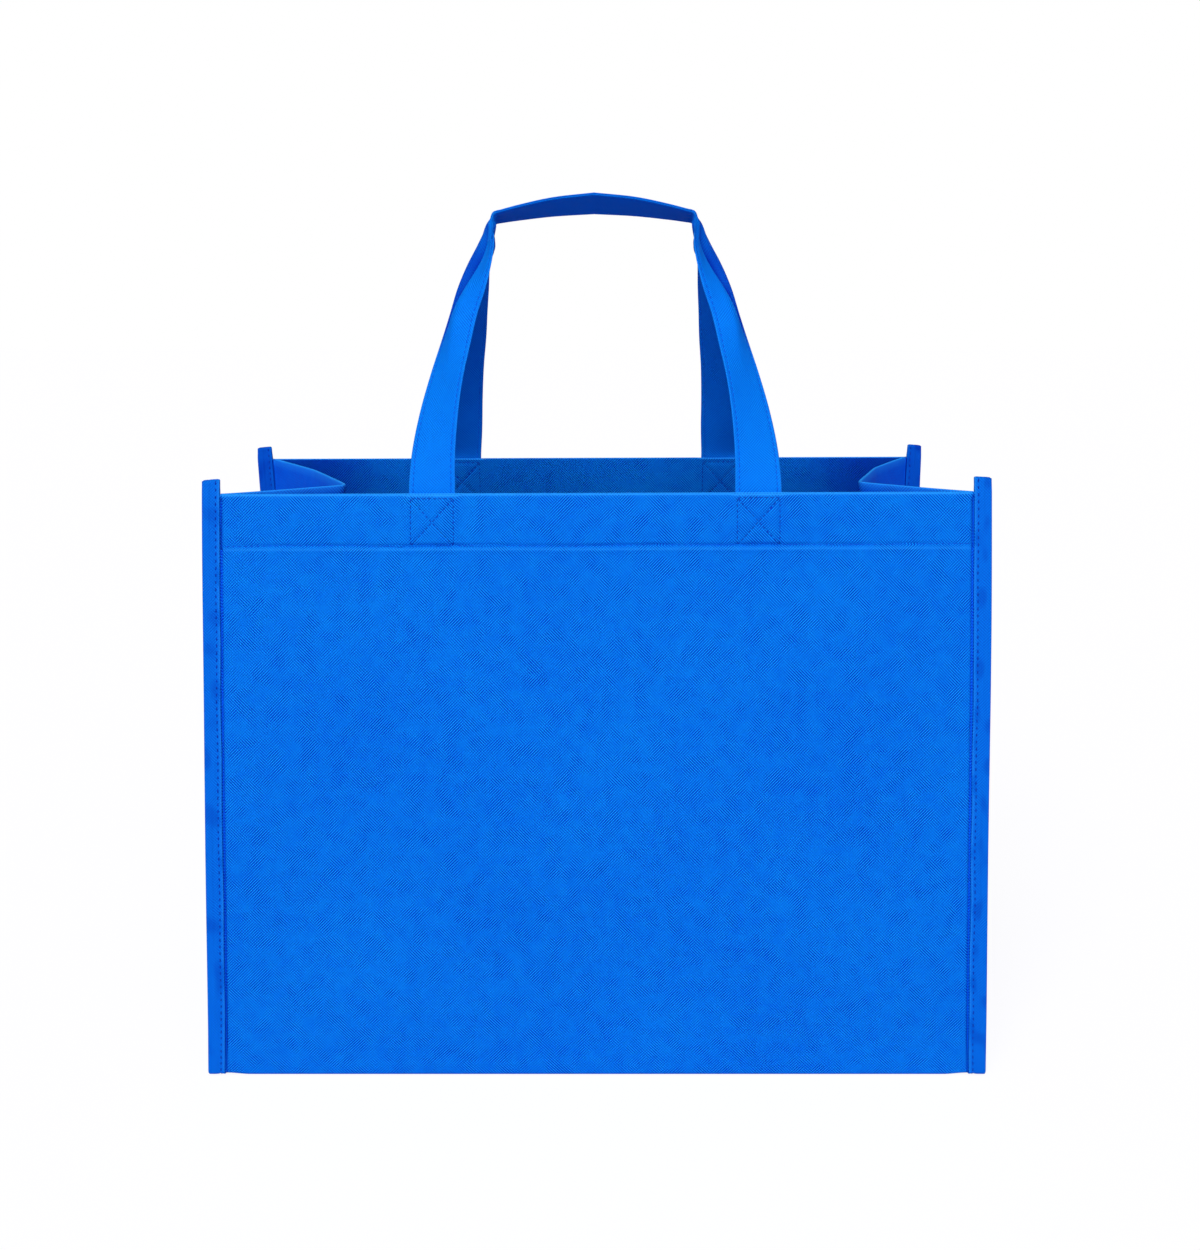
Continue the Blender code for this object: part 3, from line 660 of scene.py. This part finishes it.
def makeBody():
    # the folded walls, joined by quarter circles and the floor: y and z from each row's share
    across = spacedColumns(body["columns"])
    frontY, frontZ, frontHighlight = foldedWall("front", across)
    backY, backZ, backHighlight = foldedWall("back", across)
    arcZ = bag["arcTop"]
    angle = np.linspace(0.0, math.pi / 2.0, body["arcRows"])[1:, None] + 0.0 * across
    arcIn = bag["footRadius"] * (1.0 - np.cos(angle))
    frontArcY, backArcY = wallY("front", arcZ) + arcIn, wallY("back", arcZ) - arcIn
    arcRowsZ = arcZ - bag["footRadius"] * np.sin(angle)
    floorShare = np.linspace(0.0, 1.0, body["floorRows"])[1:-1, None]
    floorY = frontArcY[-1:] + (backArcY[-1:] - frontArcY[-1:]) * floorShare
    floorZ = np.full_like(floorY, bag["lift"])
    y = np.vstack([frontY, frontArcY, floorY, backArcY[::-1], backY[::-1]])
    z = np.vstack([frontZ, arcRowsZ, floorZ, arcRowsZ[::-1], backZ[::-1]])
    half = halfWidth(y, z) - body["edgeInset"]
    x = centreX(y, z) + across * half
    # the floor cloth sinks to the ground between its seams
    low = np.clip((arcZ - z) / bag["footRadius"], 0.0, 1.0) ** 0.5
    z = z - bag["lift"] * low * softStep((bag["footHalf"] - 0.010 - np.abs(x)) / 0.012)
    middle = body["columns"] // 2
    along = runningSum(np.hypot(np.diff(y[:, middle]), np.diff(z[:, middle])))
    flat = flatGrid(across * bag["footHalf"], along)
    plain = np.zeros(len(z) - len(frontHighlight) - len(backHighlight))
    paintedLight = np.concatenate([frontHighlight, plain, backHighlight[::-1]])[:, None] + 0.0 * y
    # painted shade on the turned-in layer at the back, most of all in the corners behind the pleats
    corner = softStep((np.abs(across) * body["backHalf"] - body["cornerFrom"]) / body["cornerFade"])
    paintedLight[-body["legRows"] * 2:] -= body["innerShade"] + body["cornerShade"] * corner
    # and painted shade in the furrow beside each tape
    fromTape = halfWidth(y, z) - bag["tapeWidth"] - np.abs(across) * half
    paintedLight -= body["furrowShade"] * groove(fromTape, 0.0006, 0.0006)
    cloth = makeMesh("bodyCloth", np.stack([x, y, z], -1), gridQuads(*y.shape), flat, panelCloth, True, paintedLight)
    thicken(cloth, bag["cloth"])
    settle(cloth, "panel_cloth", "body_panel")
    print("body cloth made, cut length", round(float(along[-1]), 4))


def makeBodySeams():
    # hem lines and crossed boxes, seen on the outer face and on the hem inside
    hems, boxes = [], []
    for face, sign in (("front", 1.0), ("back", -1.0)):
        reach = bag["footHalf"] - bag["flare"] - bag["tapeWidth"] - 0.002

        def onFace(x, under, inside):
            z = bag["mouth"] - under
            if inside:
                away = 2.0 * bag["cloth"] + hemGap(face, x) - body["seamGroove"] * 0.8
            else:
                away = -wallRelief(face, x, z)
            points = np.stack([x, wallY(face, z) + sign * away, z], -1)
            normals = np.zeros_like(points)
            normals[:, 1] = sign if inside else -sign
            return points, normals

        for inside in (False, True):
            x = np.linspace(-reach, reach, 400) + (bag["backShift"] if face == "back" else 0.0)
            hems.append(onFace(x, hemLine(face, x), inside))
            for (x0, d0), (x1, d1) in boxSeams(face):
                share = np.linspace(0.0, 1.0, 30)
                boxes.append(onFace(x0 + (x1 - x0) * share, d0 + (d1 - d0) * share, inside))
    makeThread("hemThread", hems, seam["hem"], "panel_cloth")
    makeThread("boxThread", boxes, seam["box"], "panel_cloth")


makeBody()
makeBodySeams()

# Side gussets: pleated inwards, with their edges in the seams and a hem at the mouth

gusset = dict(
    rows=70, columns=64, foldRows=6, legRows=9,
    left=dict(pleat=0.0592, bend=0.0322, crease=(0.367, 0.220), bendAt=(0.700, 0.640)),
    right=dict(pleat=0.0505, bend=0.0296, crease=(0.367, 0.250), bendAt=(0.700, 0.640)),
    hemGap=0.0003, creaseSoft=0.03, bendSoft=0.02, bow=0.0012,
    inward=bag["cloth"] * 1.5 + 0.0003,  # the gusset's cloth lies inside the body's
    flange=0.0086,                       # flat width of the edge that is sewn into the seam
)


def rimY(face, z, inward):
    # the wall, or the foot's curve, moved inward from the cloth's outer face
    sign = 1.0 if face == "front" else -1.0
    arcZ = bag["arcTop"]
    arcY = wallY(face, arcZ) + sign * bag["footRadius"]
    radius = bag["footRadius"] - inward
    curve = arcY - sign * np.sqrt(np.maximum(radius ** 2 - np.minimum(z - arcZ, 0.0) ** 2, 0.0))
    return np.where(z >= arcZ, wallY(face, z) + sign * inward, curve)


def gussetPlan(side, across, z):
    # plan of the pleat: a nearly straight front half to the crease, then two straight runs with
    # a soft corner between them to the back seam. The crease's depth goes as the root of width
    # squared less wall distance squared, scaled to its depth at the mouth, so the cloth keeps
    # its width. across runs from -1 at the front seam by 0 at the crease to 1 at the back seam.
    shape = gusset["left"] if side < 0 else gusset["right"]
    start, end = (rimY(face, z, gusset["inward"]) for face in ("front", "back"))
    full = bag["backFoot"] - bag["frontFoot"]

    def natural(height):
        distance = wallY("back", height) - wallY("front", height)
        return np.sqrt(np.maximum(full ** 2 - distance ** 2, 0.0))

    share = np.minimum(heightShare(z), 1.0)
    depth = shape["pleat"] * natural(z) / natural(np.array(bag["mouth"]))
    bend = depth * shape["bend"] / shape["pleat"]
    creaseAt = shape["crease"][0] + (shape["crease"][1] - shape["crease"][0]) * share
    bendAt = shape["bendAt"][0] + (shape["bendAt"][1] - shape["bendAt"][0]) * share
    creaseY = start + (end - start) * creaseAt
    bendY = start + (end - start) * bendAt
    s, t = (np.clip(half, 0.0, 1.0) for half in halves(across, gusset["creaseSoft"]))
    first, last = (np.clip(2.0 * half, 0.0, 1.0) for half in halves(t - 0.5, gusset["bendSoft"]))
    middle = 1.0 - first - last
    frontX = -depth * (1.0 - s)
    frontY = start + (creaseY - start) * (1.0 - s)
    backX = -(first * depth + middle * bend)
    backY = first * creaseY + middle * bendY + last * end
    bow = gusset["bow"] * share * np.sin(math.pi * s)
    inX = frontX + backX + depth + bow * 0.6
    y = frontY + backY - creaseY - bow
    edge = halfWidth(y, z) - bag["tapeWidth"] - 0.0004
    return side * (edge + inX) + centreX(y, z), y


def makeGusset(side, label):
    # rows of the plan at each height, moved along its inside normal at the hem, with a slow sway
    across = np.linspace(-1.0, 1.0, gusset["columns"])
    across = np.sign(across) * np.abs(across) ** 1.25
    low = bag["lift"] + gusset["inward"]
    radius = bag["cloth"] + gusset["hemGap"] / 2.0
    foldZ = bag["mouth"] - radius
    # heights from the inner hem edge over the fold to the foot, with the offset to the inside
    legZ = np.linspace(bag["mouth"] - bag["hemDepth"], foldZ, gusset["legRows"])
    angle = np.linspace(0.0, math.pi, gusset["foldRows"] + 2)[1:-1]
    wallZ = np.linspace(foldZ, bag["arcTop"], gusset["rows"])
    footZ = low + (bag["arcTop"] - low) * (1.0 - np.linspace(0.0, 1.0, 8)[1:]) ** 1.7
    z = np.concatenate([legZ, foldZ + radius * np.sin(angle), wallZ, footZ])[:, None]
    move = np.concatenate([np.full(len(legZ), 2.0 * radius), radius * (1.0 + np.cos(angle)),
                           np.zeros(len(wallZ) + len(footZ))])[:, None]
    planZ = np.minimum(z, foldZ)
    x, y = gussetPlan(side, across[None, :], planZ)
    # inside normal of the plan, turned a quarter from its run
    runX, runY = np.gradient(x, axis=1), np.gradient(y, axis=1)
    size = np.hypot(runX, runY)
    inX, inY = -side * runY / size, side * runX / size
    fade = softStep((1.0 - np.abs(across)) / 0.06)[None, :]
    x = x + inX * move * fade
    y = y + inY * move * fade
    calm = softStep((1.0 - np.abs(across)) * 4.0)[None, :] * softStep((bag["mouth"] - z) / 0.03 + 0.25)
    sway = 0.0011 * ripple(y, z + 0.0 * y, 0.07, 21 if side < 0 else 22) * calm * softStep(z / 0.05)
    x = x + inX * sway
    y = y + inY * sway
    rows = x.shape[0]
    # flanges reach outwards into the seam along both walls and under the foot
    flange = halfWidth(y, planZ + 0.0 * y) - body["edgeInset"]
    edgeX = side * flange + centreX(y, planZ + 0.0 * y)
    first = np.stack([edgeX[:, :1], y[:, :1], z + 0.0 * y[:, :1]], -1)
    last = np.stack([edgeX[:, -1:], y[:, -1:], z + 0.0 * y[:, :1]], -1)
    core = np.stack([x, y, z + 0.0 * y], -1)
    grid = np.concatenate([first, core, last], axis=1)
    foot = grid[-1:].copy()
    foot[0, 1:-1, 0] = edgeX[-1]
    grid = np.concatenate([grid, foot], axis=0)
    columns = grid.shape[1]
    quads = gridQuads(rows + 1, columns).reshape(rows, columns - 1, 4)
    keep = np.ones((rows, columns - 1), bool)
    keep[-1, 0] = keep[-1, -1] = False
    keep[:len(legZ) + len(angle), 0] = keep[:len(legZ) + len(angle), -1] = False
    quads = quads[keep]
    row = len(legZ) + 20
    u = runningSum(np.hypot(np.diff(x[row]), np.diff(y[row])))
    u = np.concatenate([[u[0] - gusset["flange"]], u, [u[-1] + gusset["flange"]]])
    v = runningSum(np.abs(np.diff(z[:, 0])))
    v = np.append(v, v[-1] + gusset["flange"])
    # painted highlight along the fold at the mouth
    turned = np.exp(-np.abs(grid[:, :, 2] - bag["mouth"]) / 0.0006)
    item = makeMesh("gusset" + label.title() + "Cloth", grid, quads, flatGrid(u, v), gussetCloth,
                    side > 0, turned)
    thicken(item, bag["cloth"], 0.0)
    settle(item, "gusset_cloth", "gusset_" + label)
    print("gusset", label, "made")


def makeGussetSeam(side, label):
    # the gusset's own hem line, on the outside and on the inside
    across = np.linspace(-0.985, 0.985, 160)
    z = bag["mouth"] - bag["hemStitch"]
    x, y = gussetPlan(side, across, np.full_like(across, z))
    points = np.stack([x, y, np.full_like(x, z)], -1)
    run = np.gradient(points[:, :2], axis=0)
    run = run / np.linalg.norm(run, axis=1, keepdims=True)
    inside = np.stack([-side * run[:, 1], side * run[:, 0], 0.0 * x], -1)
    deep = bag["cloth"] * 2.5 + gusset["hemGap"]
    seams = [(points - inside * bag["cloth"] / 2.0, -inside), (points + inside * deep, inside)]
    makeThread("gusset" + label.title() + "Thread", seams, seam["hem"], "gusset_cloth")


for side, label in ((-1.0, "left"), (1.0, "right")):
    makeGusset(side, label)
    makeGussetSeam(side, label)

# Seam tapes: folded over the cut edges, from the front tab round the foot to the back tab

tape = dict(
    thickness=0.0005,
    outside=-0.00065,            # outer face of the tape, in front of the wall's face
    inside=0.0019,
    endRadius=0.0009,
    tab=0.0072, tabThickness=0.0017,
    stitchIn=0.0021,             # stitch line from the tape's inner edge
    legColumns=18, wallRows=150, arcRows=8, floorRows=40,
    pucker=0.00022, wave=0.0004,
    slant=0.0007, corner=0.0006,         # the cut end rises inwards, and its corners are soft
    backNarrow=-0.0008,                  # the back tabs are pressed a little narrower
    backShade=0.42, creaseShade=0.30,      # painted shade on the back's tapes and in small creases
)


def tapeSection():
    # across from the bag's side, and inward from the wall: a front leg, a round edge and a back leg
    width, r = bag["tapeWidth"], tape["endRadius"]
    legs = np.linspace(width, r, tape["legColumns"])
    angle = np.linspace(0.0, math.pi, 9)[1:-1]
    middle = (tape["outside"] + tape["inside"]) / 2.0
    half = (tape["inside"] - tape["outside"]) / 2.0
    across = np.concatenate([legs, r * (1.0 - np.sin(angle)), legs[::-1]])
    inward = np.concatenate([0.0 * legs - half, -half * np.cos(angle), 0.0 * legs + half])
    # the tape is pulled in at the stitch and its edge lies down
    dip = 0.00026 * groove(across, width - tape["stitchIn"], 0.0008)
    dip = dip + 0.00012 * softStep((across - width + 0.0005) / 0.0005)
    return across, inward - np.sign(inward) * dip, middle


def rimPath(top):
    # centre line of the U-shaped rim as face, y, z and the inward direction, from front top to back top
    arcZ = bag["arcTop"]
    z = np.linspace(top, arcZ, tape["wallRows"])
    angle = np.linspace(0.0, math.pi / 2.0, tape["arcRows"])[1:]
    frontY = wallY("front", arcZ) + bag["footRadius"]
    backY = wallY("back", arcZ) - bag["footRadius"]
    floorY = np.linspace(frontY, backY, tape["floorRows"])[1:-1]
    none, one = np.zeros_like(z), np.ones_like(z)
    arcOut, arcRowsZ = bag["footRadius"] * np.cos(angle), arcZ - bag["footRadius"] * np.sin(angle)
    y = np.concatenate([wallY("front", z), frontY - arcOut, floorY, (backY + arcOut)[::-1],
                        wallY("back", z)[::-1]])
    zs = np.concatenate([z, arcRowsZ, np.full_like(floorY, bag["lift"]), arcRowsZ[::-1], z[::-1]])
    inY = np.concatenate([one, np.cos(angle), 0.0 * floorY, -np.cos(angle)[::-1], -one])
    inZ = np.concatenate([none, np.sin(angle), 1.0 + 0.0 * floorY, np.sin(angle)[::-1], none])
    return y, zs, inY, inZ


def makeTape(side, label):
    # the section carried along the rim: y and z move along the inward direction, x is the half
    # width less the section's way across; pinched at the stitch, waved, and slanted at its ends
    across, inward, middle = tapeSection()
    top = bag["mouth"] + tape["tab"]
    y, z, inY, inZ = rimPath(top)
    over = softStep((z - bag["mouth"] - 0.0004) / 0.0022)[:, None]
    tabShare = np.clip((z - bag["mouth"]) / tape["tab"], 0.0, 1.0)[:, None]
    flat = 1.0 + over * (tape["tabThickness"] / (tape["inside"] - tape["outside"]) - 1.0)
    along = runningSum(np.hypot(np.diff(y), np.diff(z)))
    sway = 0.00035 * ripple(along, 0.0 * along, 0.05, 31 if side < 0 else 32)[:, None]
    pull = tape["pucker"] * np.sin(along / 0.0042 * 2.0 * math.pi)[:, None]
    pull = pull * groove(across, bag["tapeWidth"] - tape["stitchIn"], 0.0016)
    b = middle + inward[None, :] * flat - np.sign(inward)[None, :] * pull
    py = y[:, None] + inY[:, None] * b
    pz = z[:, None] + inZ[:, None] * b
    baseY, baseZ = y[:, None] + 0.0 * b, np.minimum(z[:, None], bag["mouth"]) + 0.0 * b
    inEdge = np.where(across > 0.004, 1.0, 0.0)[None, :]
    px = side * (halfWidth(baseY, baseZ) - across[None, :] + sway * inEdge * 0.5) + centreX(baseY, baseZ)
    acrossShare = across[None, :] / bag["tapeWidth"]
    aslant = tape["slant"] * (acrossShare - 0.5) - tape["corner"] * (2.0 * acrossShare - 1.0) ** 8
    pz = pz + aslant * tabShare ** 2
    back = (np.arange(len(z)) > len(z) / 2)[:, None]
    px = px + side * back * tabShare * tape["backNarrow"] * (0.5 - acrossShare)
    wave = tape["wave"] * np.sin(along / 0.031 + 2.0 * side)[:, None]
    py = py + wave * (1.0 - inEdge) * softStep(z / 0.03)[:, None]
    u = runningSum(np.hypot(np.diff(across), np.diff(inward)))
    points = np.stack([px, py, pz], -1)
    # painted highlight along the tape's inner edges
    edge = np.exp(-(bag["tapeWidth"] - across) / 0.0006)[None, :] + 0.0 * px
    # painted shade of small creases, in random patches
    random = ripple(along[:, None], across[None, :] * 2.0, 0.020, 51 if side < 0 else 52)
    creaseShadeAmount = tape["creaseShade"] * softStep(random - 0.1)
    name = "binding" + label.title()
    # painted highlight on the edges, painted shade in creases and on the back half
    item = makeMesh(name + "Tape", points, gridQuads(*px.shape), flatGrid(u, along), bindingTape,
                    side > 0, 0.6 * edge - creaseShadeAmount - tape["backShade"] * back)
    thicken(item, tape["thickness"])
    settle(item, "binding_tape", "binding_" + label)
    front = across[:tape["legColumns"]]
    near = int(np.argmin(np.abs(front - (bag["tapeWidth"] - tape["stitchIn"]))))
    away = np.stack([0.0 * inY, -inY, -inZ], -1)
    seams = [(points[:, near], away), (points[:, len(across) - 1 - near], -away)]
    makeThread(name + "Thread", seams, seam["tape"], "binding_tape")
    print("tape", label, "made, length", round(float(along[-1]), 4))


for side, label in ((-1.0, "left"), (1.0, "right")):
    makeTape(side, label)

# Handles: flat sewn straps, twisted and gathered where both are drawn together

handle = dict(
    rise=0.1332,                 # mouth edge to the pinch
    pinch=0.0560,                # half the distance between the two pinches
    pinchShift=-0.0016,
    tuck=0.0022,                 # and this far inside it at the pinch
    rim=0.0010,                  # the front handle's edge stands back this far at the grip
    tail=0.0250, stand=0.0030,
    thickness=0.0008,
    arch=0.0084, archPower=1.6,
    gripIn=0.320,
    # height of the grip's front edge, middle and back edge at its end
    frontUp=(0.380, 0.300, 0.215), backUp=(0.348, 0.246, 0.136),
    gripArch=(1.00, 0.75, 0.50),
    rowsPerSpan=12, columns=49,
    creaseSoft=0.16,
    stitchIn=0.0021, stitchGroove=0.00022,
    valley=0.0060, valleyHalf=0.20,      # the front handle's lengthwise fold under each neck
    gather=0.0010, gatherFolds=1.6,      # small folds that run into the pinch
    crumple=0.0007,
    pinchRow=13.0,                       # the pinch, counted in guide rows
    # painted highlight on the strap's edges; painted shade under the neck's fold, in clouds past it and on
    # the back strap's inner side
    edgeHighlightShare=0.3, innerShade=0.26, neckShade=1.1, pastShade=0.70, pastSwing=0.35, mostShade=0.97,
    # share of the rise, way in, way to the middle, turn of the inner half and of the outer half
    front=[
        (0.14, 0.007, 0.132, 14, 14), (0.28, 0.079, 0.295, 28, 27), (0.42, 0.198, 0.464, 38, 39),
        (0.55, 0.268, 0.600, 23, 60), (0.66, 0.350, 0.699, 10, 71), (0.76, 0.546, 0.796, 25, 64),
        (0.85, 0.775, 0.896, 49, 56), (0.93, 0.949, 0.967, 67, 60), (1.00, 1.020, 1.000, 78, 75),
    ],
    back=[
        (0.14, 0.060, 0.112, 15, 15), (0.28, 0.132, 0.233, 29, 29), (0.42, 0.227, 0.368, 38, 38),
        (0.55, 0.345, 0.506, 44, 44), (0.66, 0.455, 0.629, 53, 53), (0.76, 0.612, 0.730, 68, 68),
        (0.85, 0.785, 0.814, 85, 85), (0.93, 0.920, 0.906, 94, 94), (1.00, 1.000, 1.000, 94, 94),
    ],
    # round the pinch: how far in and how far up for the front edge, the middle and the back edge
    frontPinch=[
        ((0.127, 0.185), (0.065, 0.170), (0.010, 0.182)), ((0.161, 0.330), (0.131, 0.295), (0.110, 0.245))],
    backPinch=[
        ((0.112, 0.175), (0.086, 0.115), (0.076, 0.055)), ((0.166, 0.290), (0.141, 0.200), (0.131, 0.100))],
)


def smoothRows(points, steps):
    # Catmull-Rom curve through the rows, knots spaced by the root of their distances
    points = np.array(points, float)
    padded = np.vstack([2 * points[:1] - points[1:2], points, 2 * points[-1:] - points[-2:-1]])
    gaps = np.sqrt(np.linalg.norm(np.diff(padded.reshape(len(padded), -1), axis=0), axis=1)) + 1e-9
    knots = runningSum(gaps)
    share = np.linspace(0.0, 1.0, steps, endpoint=False)
    shape = (-1,) + (1,) * (points.ndim - 1)
    out = []
    for k in range(1, len(padded) - 2):
        t0, t1, t2, t3 = knots[k - 1:k + 3]
        p0, p1, p2, p3 = padded[k - 1:k + 3]
        t = (t1 + (t2 - t1) * share).reshape(shape)

        def blend(first, second, low, high):
            return first + (second - first) * (t - low) / (high - low)

        a1, a2, a3 = blend(p0, p1, t0, t1), blend(p1, p2, t1, t2), blend(p2, p3, t2, t3)
        out.append(blend(blend(a1, a2, t0, t2), blend(a2, a3, t1, t3), t1, t2))
    out.append(padded[-2:-1])
    return np.concatenate(out)


def strapRows(face):
    # rows of inner edge, middle and outer edge for the +X side, from the tail to the middle of the grip
    front = face == "front"
    toward = -1.0 if front else 1.0          # the inner edge turns this way along Y
    spread = bag["frontSpread"] if front else bag["backSpread"]
    pinch = handle["pinch"] if front else handle["pinch"] - handle["tuck"]
    wide = bag["strapWidth"]
    layer = bag["cloth"] + body["strapGap"] / 2.0
    middleY = lambda z: wallY(face, z) - toward * layer
    baseY = middleY(bag["mouth"])
    meetY = (wallY("front", bag["mouth"]) + wallY("back", bag["mouth"])) / 2.0
    drops = np.array([handle["tail"], handle["tail"] / 2, 0.001, -handle["stand"]])
    tail = [(spread, middleY(z), z) for z in bag["mouth"] - drops]
    table = np.array(handle[face], float)
    rise = np.stack([spread + (pinch - spread) * table[:, 1], baseY + (meetY - baseY) * table[:, 2],
                     bag["mouth"] + handle["rise"] * table[:, 0]], -1)
    middle = np.vstack([tail, rise])
    turns = np.radians(np.vstack([np.zeros((len(tail), 2)), table[:, 3:]]))
    run = np.gradient(middle, axis=0)
    run /= np.linalg.norm(run, axis=1)[:, None]
    rows = []
    for turn, out in ((turns[:, 0], -1.0), (turns[:, 1], 1.0)):
        # a half strap leaves the middle level, turned about Z, and is as long as its true width asks
        way = np.stack([out * np.cos(turn), -out * toward * np.sin(turn), 0.0 * turn], -1)
        reach = wide / 2.0 / np.sqrt(1.0 - np.sum(way * run, axis=1) ** 2)
        rows.append(middle + way * reach[:, None])
    rows = np.stack([rows[0], middle, rows[1]], axis=1)
    top = bag["mouth"] + handle["rise"]
    depths = meetY + np.array([-0.485, 0.0, 0.485]) * wide + (handle["rim"] if front else 0.0)
    extra = []
    for points in handle[face + "Pinch"]:
        extra.append([(handle["pinch"] - a * wide, y, top + b * wide) for (a, b), y in zip(points, depths)])
    endX = handle["pinch"] - handle["gripIn"] * wide
    for share in (0.0, 0.22, 0.55, 1.0):
        arch = handle["arch"] * (1.0 - (1.0 - share) ** handle["archPower"])
        extra.append([(endX * (1.0 - share), y, top + up * wide + arch * part)
                      for y, up, part in zip(depths, handle[face + "Up"], handle["gripArch"])])
    extra = np.array(extra)
    if not front:
        extra = extra[:, ::-1]
    return np.concatenate([rows, extra])


def surfaceNormals(points):
    # the cross product of the grid's two directions, at length 1
    along = np.gradient(points, axis=0)
    across = np.gradient(points, axis=1)
    normal = np.cross(along, across)
    return normal / np.maximum(np.linalg.norm(normal, axis=2, keepdims=True), 1e-12)


def strapSurface(face):
    # the whole strap's middle surface: guide rows smoothed along the strap, then a soft fold
    # across it, where each half's share is (root(w^2 + e^2) -+ w) / 2
    guides = strapRows(face)
    rows = smoothRows(guides, handle["rowsPerSpan"])
    place = np.arange(len(rows)) / handle["rowsPerSpan"]     # counted in guide rows
    left = rows[:-1].copy()
    left[:, :, 0] *= -1.0
    both = np.concatenate([left, rows[::-1]])
    place = np.concatenate([place[:-1], place[::-1]])
    shift = bag["frontShift"] if face == "front" else bag["backHandleShift"]
    share = np.clip((both[:, :, 2] - bag["mouth"]) / handle["rise"], 0.0, 1.0)
    both[:, :, 0] += shift + (handle["pinchShift"] - shift) * share
    w = np.linspace(-1.0, 1.0, handle["columns"])
    w = np.sin(w * math.pi / 2.0) * 0.35 + w * 0.65
    inner, outer = (half[None, :, None] for half in halves(w, handle["creaseSoft"]))
    middle = both[:, 1:2]
    surface = middle + inner * (both[:, :1] - middle) + outer * (both[:, 2:] - middle)
    return surface + surfaceNormals(surface) * strapFolds(face, place, w)[:, :, None], w, place


def neckFold(p):
    # where the lengthwise fold runs, as a share of the half strap: from near the outer edge
    # low on the neck to the strap's middle at the pinch
    return 0.12 + 0.15 * np.clip(12.0 - p, 0.0, 5.5)


def strapFolds(face, place, w):
    # how far the cloth is pushed along its normal: one valley under the neck, small gathers
    # into the pinch and slight crumples between, each under its own window along the strap
    pinchAt = handle["pinchRow"]
    p = place[:, None]
    toViewer = -1.0 if face == "front" else 0.0
    side = np.where(np.arange(len(place)) < len(place) / 2, 0.4, -0.3)[:, None]
    neck = softStep((p - pinchAt + 6.2) / 2.8) * softStep((pinchAt - 0.4 - p) / 1.8)
    inside = 1.0 - w[None, :] ** 4
    middle = neckFold(p) + 0.04 * side
    valley = handle["valley"] * toViewer * neck * groove(w[None, :], middle, handle["valleyHalf"])
    near = softStep((p - pinchAt + 3.0) / 2.6) * softStep((pinchAt + 2.2 - p) / 1.9)
    folds = handle["gather"] * near * np.sin(2.0 * math.pi * handle["gatherFolds"] * w[None, :] + 1.1 + side)
    random = ripple(p * 0.9, w[None, :] * 1.2, 2.2, 41 if face == "front" else 42)
    window = softStep((p - pinchAt + 7.0) / 2.5) * softStep((pinchAt + 1.0 - p) / 2.0)
    return (valley + folds + handle["crumple"] * window * random) * inside


def makeHandle(face):
    # a closed ring of columns round the strap: surface + and - normal * half the thickness,
    # thinner at the edges and at the stitches
    surface, w, place = strapSurface(face)
    normal = surfaceNormals(surface)
    middle = surface[:, handle["columns"] // 2]
    along = runningSum(np.linalg.norm(np.diff(middle, axis=0), axis=1))
    half = handle["thickness"] / 2.0
    inEdge = (1.0 - np.abs(w)) * bag["strapWidth"] / 2.0
    profile = half * np.clip(inEdge / 0.0006, 0.0, 1.0) ** 0.5
    profile = profile - handle["stitchGroove"] * groove(inEdge, handle["stitchIn"], 0.0007)
    top = surface + normal * profile[None, :, None]
    bottom = (surface - normal * profile[None, :, None])[:, 1:-1][:, ::-1]
    ring = np.concatenate([top, bottom], axis=1)
    quads = gridQuads(*ring.shape[:2], wrap=True)
    u = w * bag["strapWidth"] / 2.0
    u = np.concatenate([u, u[1:-1][::-1] + 0.05])
    # painted highlight along the strap's edges
    edgeHighlight = np.exp(-inEdge / 0.0005) * handle["edgeHighlightShare"]
    # painted shade under the neck's fold and, in clouds, past it; on the inner side of the back strap too
    p = place[:, None]
    neck = softStep((p - 6.3) / 1.6) * softStep((13.6 - p) / 1.2) * (face == "front")
    past = softStep((w[None, :] - neckFold(p)) / 0.16)
    cloudy = softStep(ripple(p * 0.8, w[None, :] * 0.9, 1.5, 77) + 0.2)
    cloudy = handle["pastShade"] - handle["pastSwing"] * cloudy
    fold = handle["neckShade"] * groove(w[None, :], neckFold(p) + 0.02, 0.10)
    strapShade = neck * np.clip(fold + cloudy * past, 0.0, handle["mostShade"])
    strapShade = strapShade + handle["innerShade"] * (face == "back")
    paintedLight = np.concatenate([edgeHighlight - strapShade, np.broadcast_to(edgeHighlight, strapShade.shape)[:, 1:-1][:, ::-1]], axis=1)
    item = makeMesh("handle" + face.title() + "Strap", ring, quads, flatGrid(u, along), handleStrap,
                    True, paintedLight)
    settle(item, "handle_strap", "handle_" + face)
    seams = []
    sewnIn = int(handle["rowsPerSpan"] * 2.2)
    free = slice(sewnIn, len(surface) - sewnIn)
    sewn = 1.0 - handle["stitchIn"] / (bag["strapWidth"] / 2.0)
    for edge in (-sewn, sewn):
        column = int(np.argmin(np.abs(w - edge)))
        line, up = surface[free, column], normal[free, column]
        out = profile[column] * up
        seams += [(line + out, up), (line - out, -up)]
    makeThread("handle" + face.title() + "Thread", seams, seam["strap"], "handle_strap")
    print("handle", face, "made, length", round(float(along[-1]), 4))


for face in ("front", "back"):
    makeHandle(face)
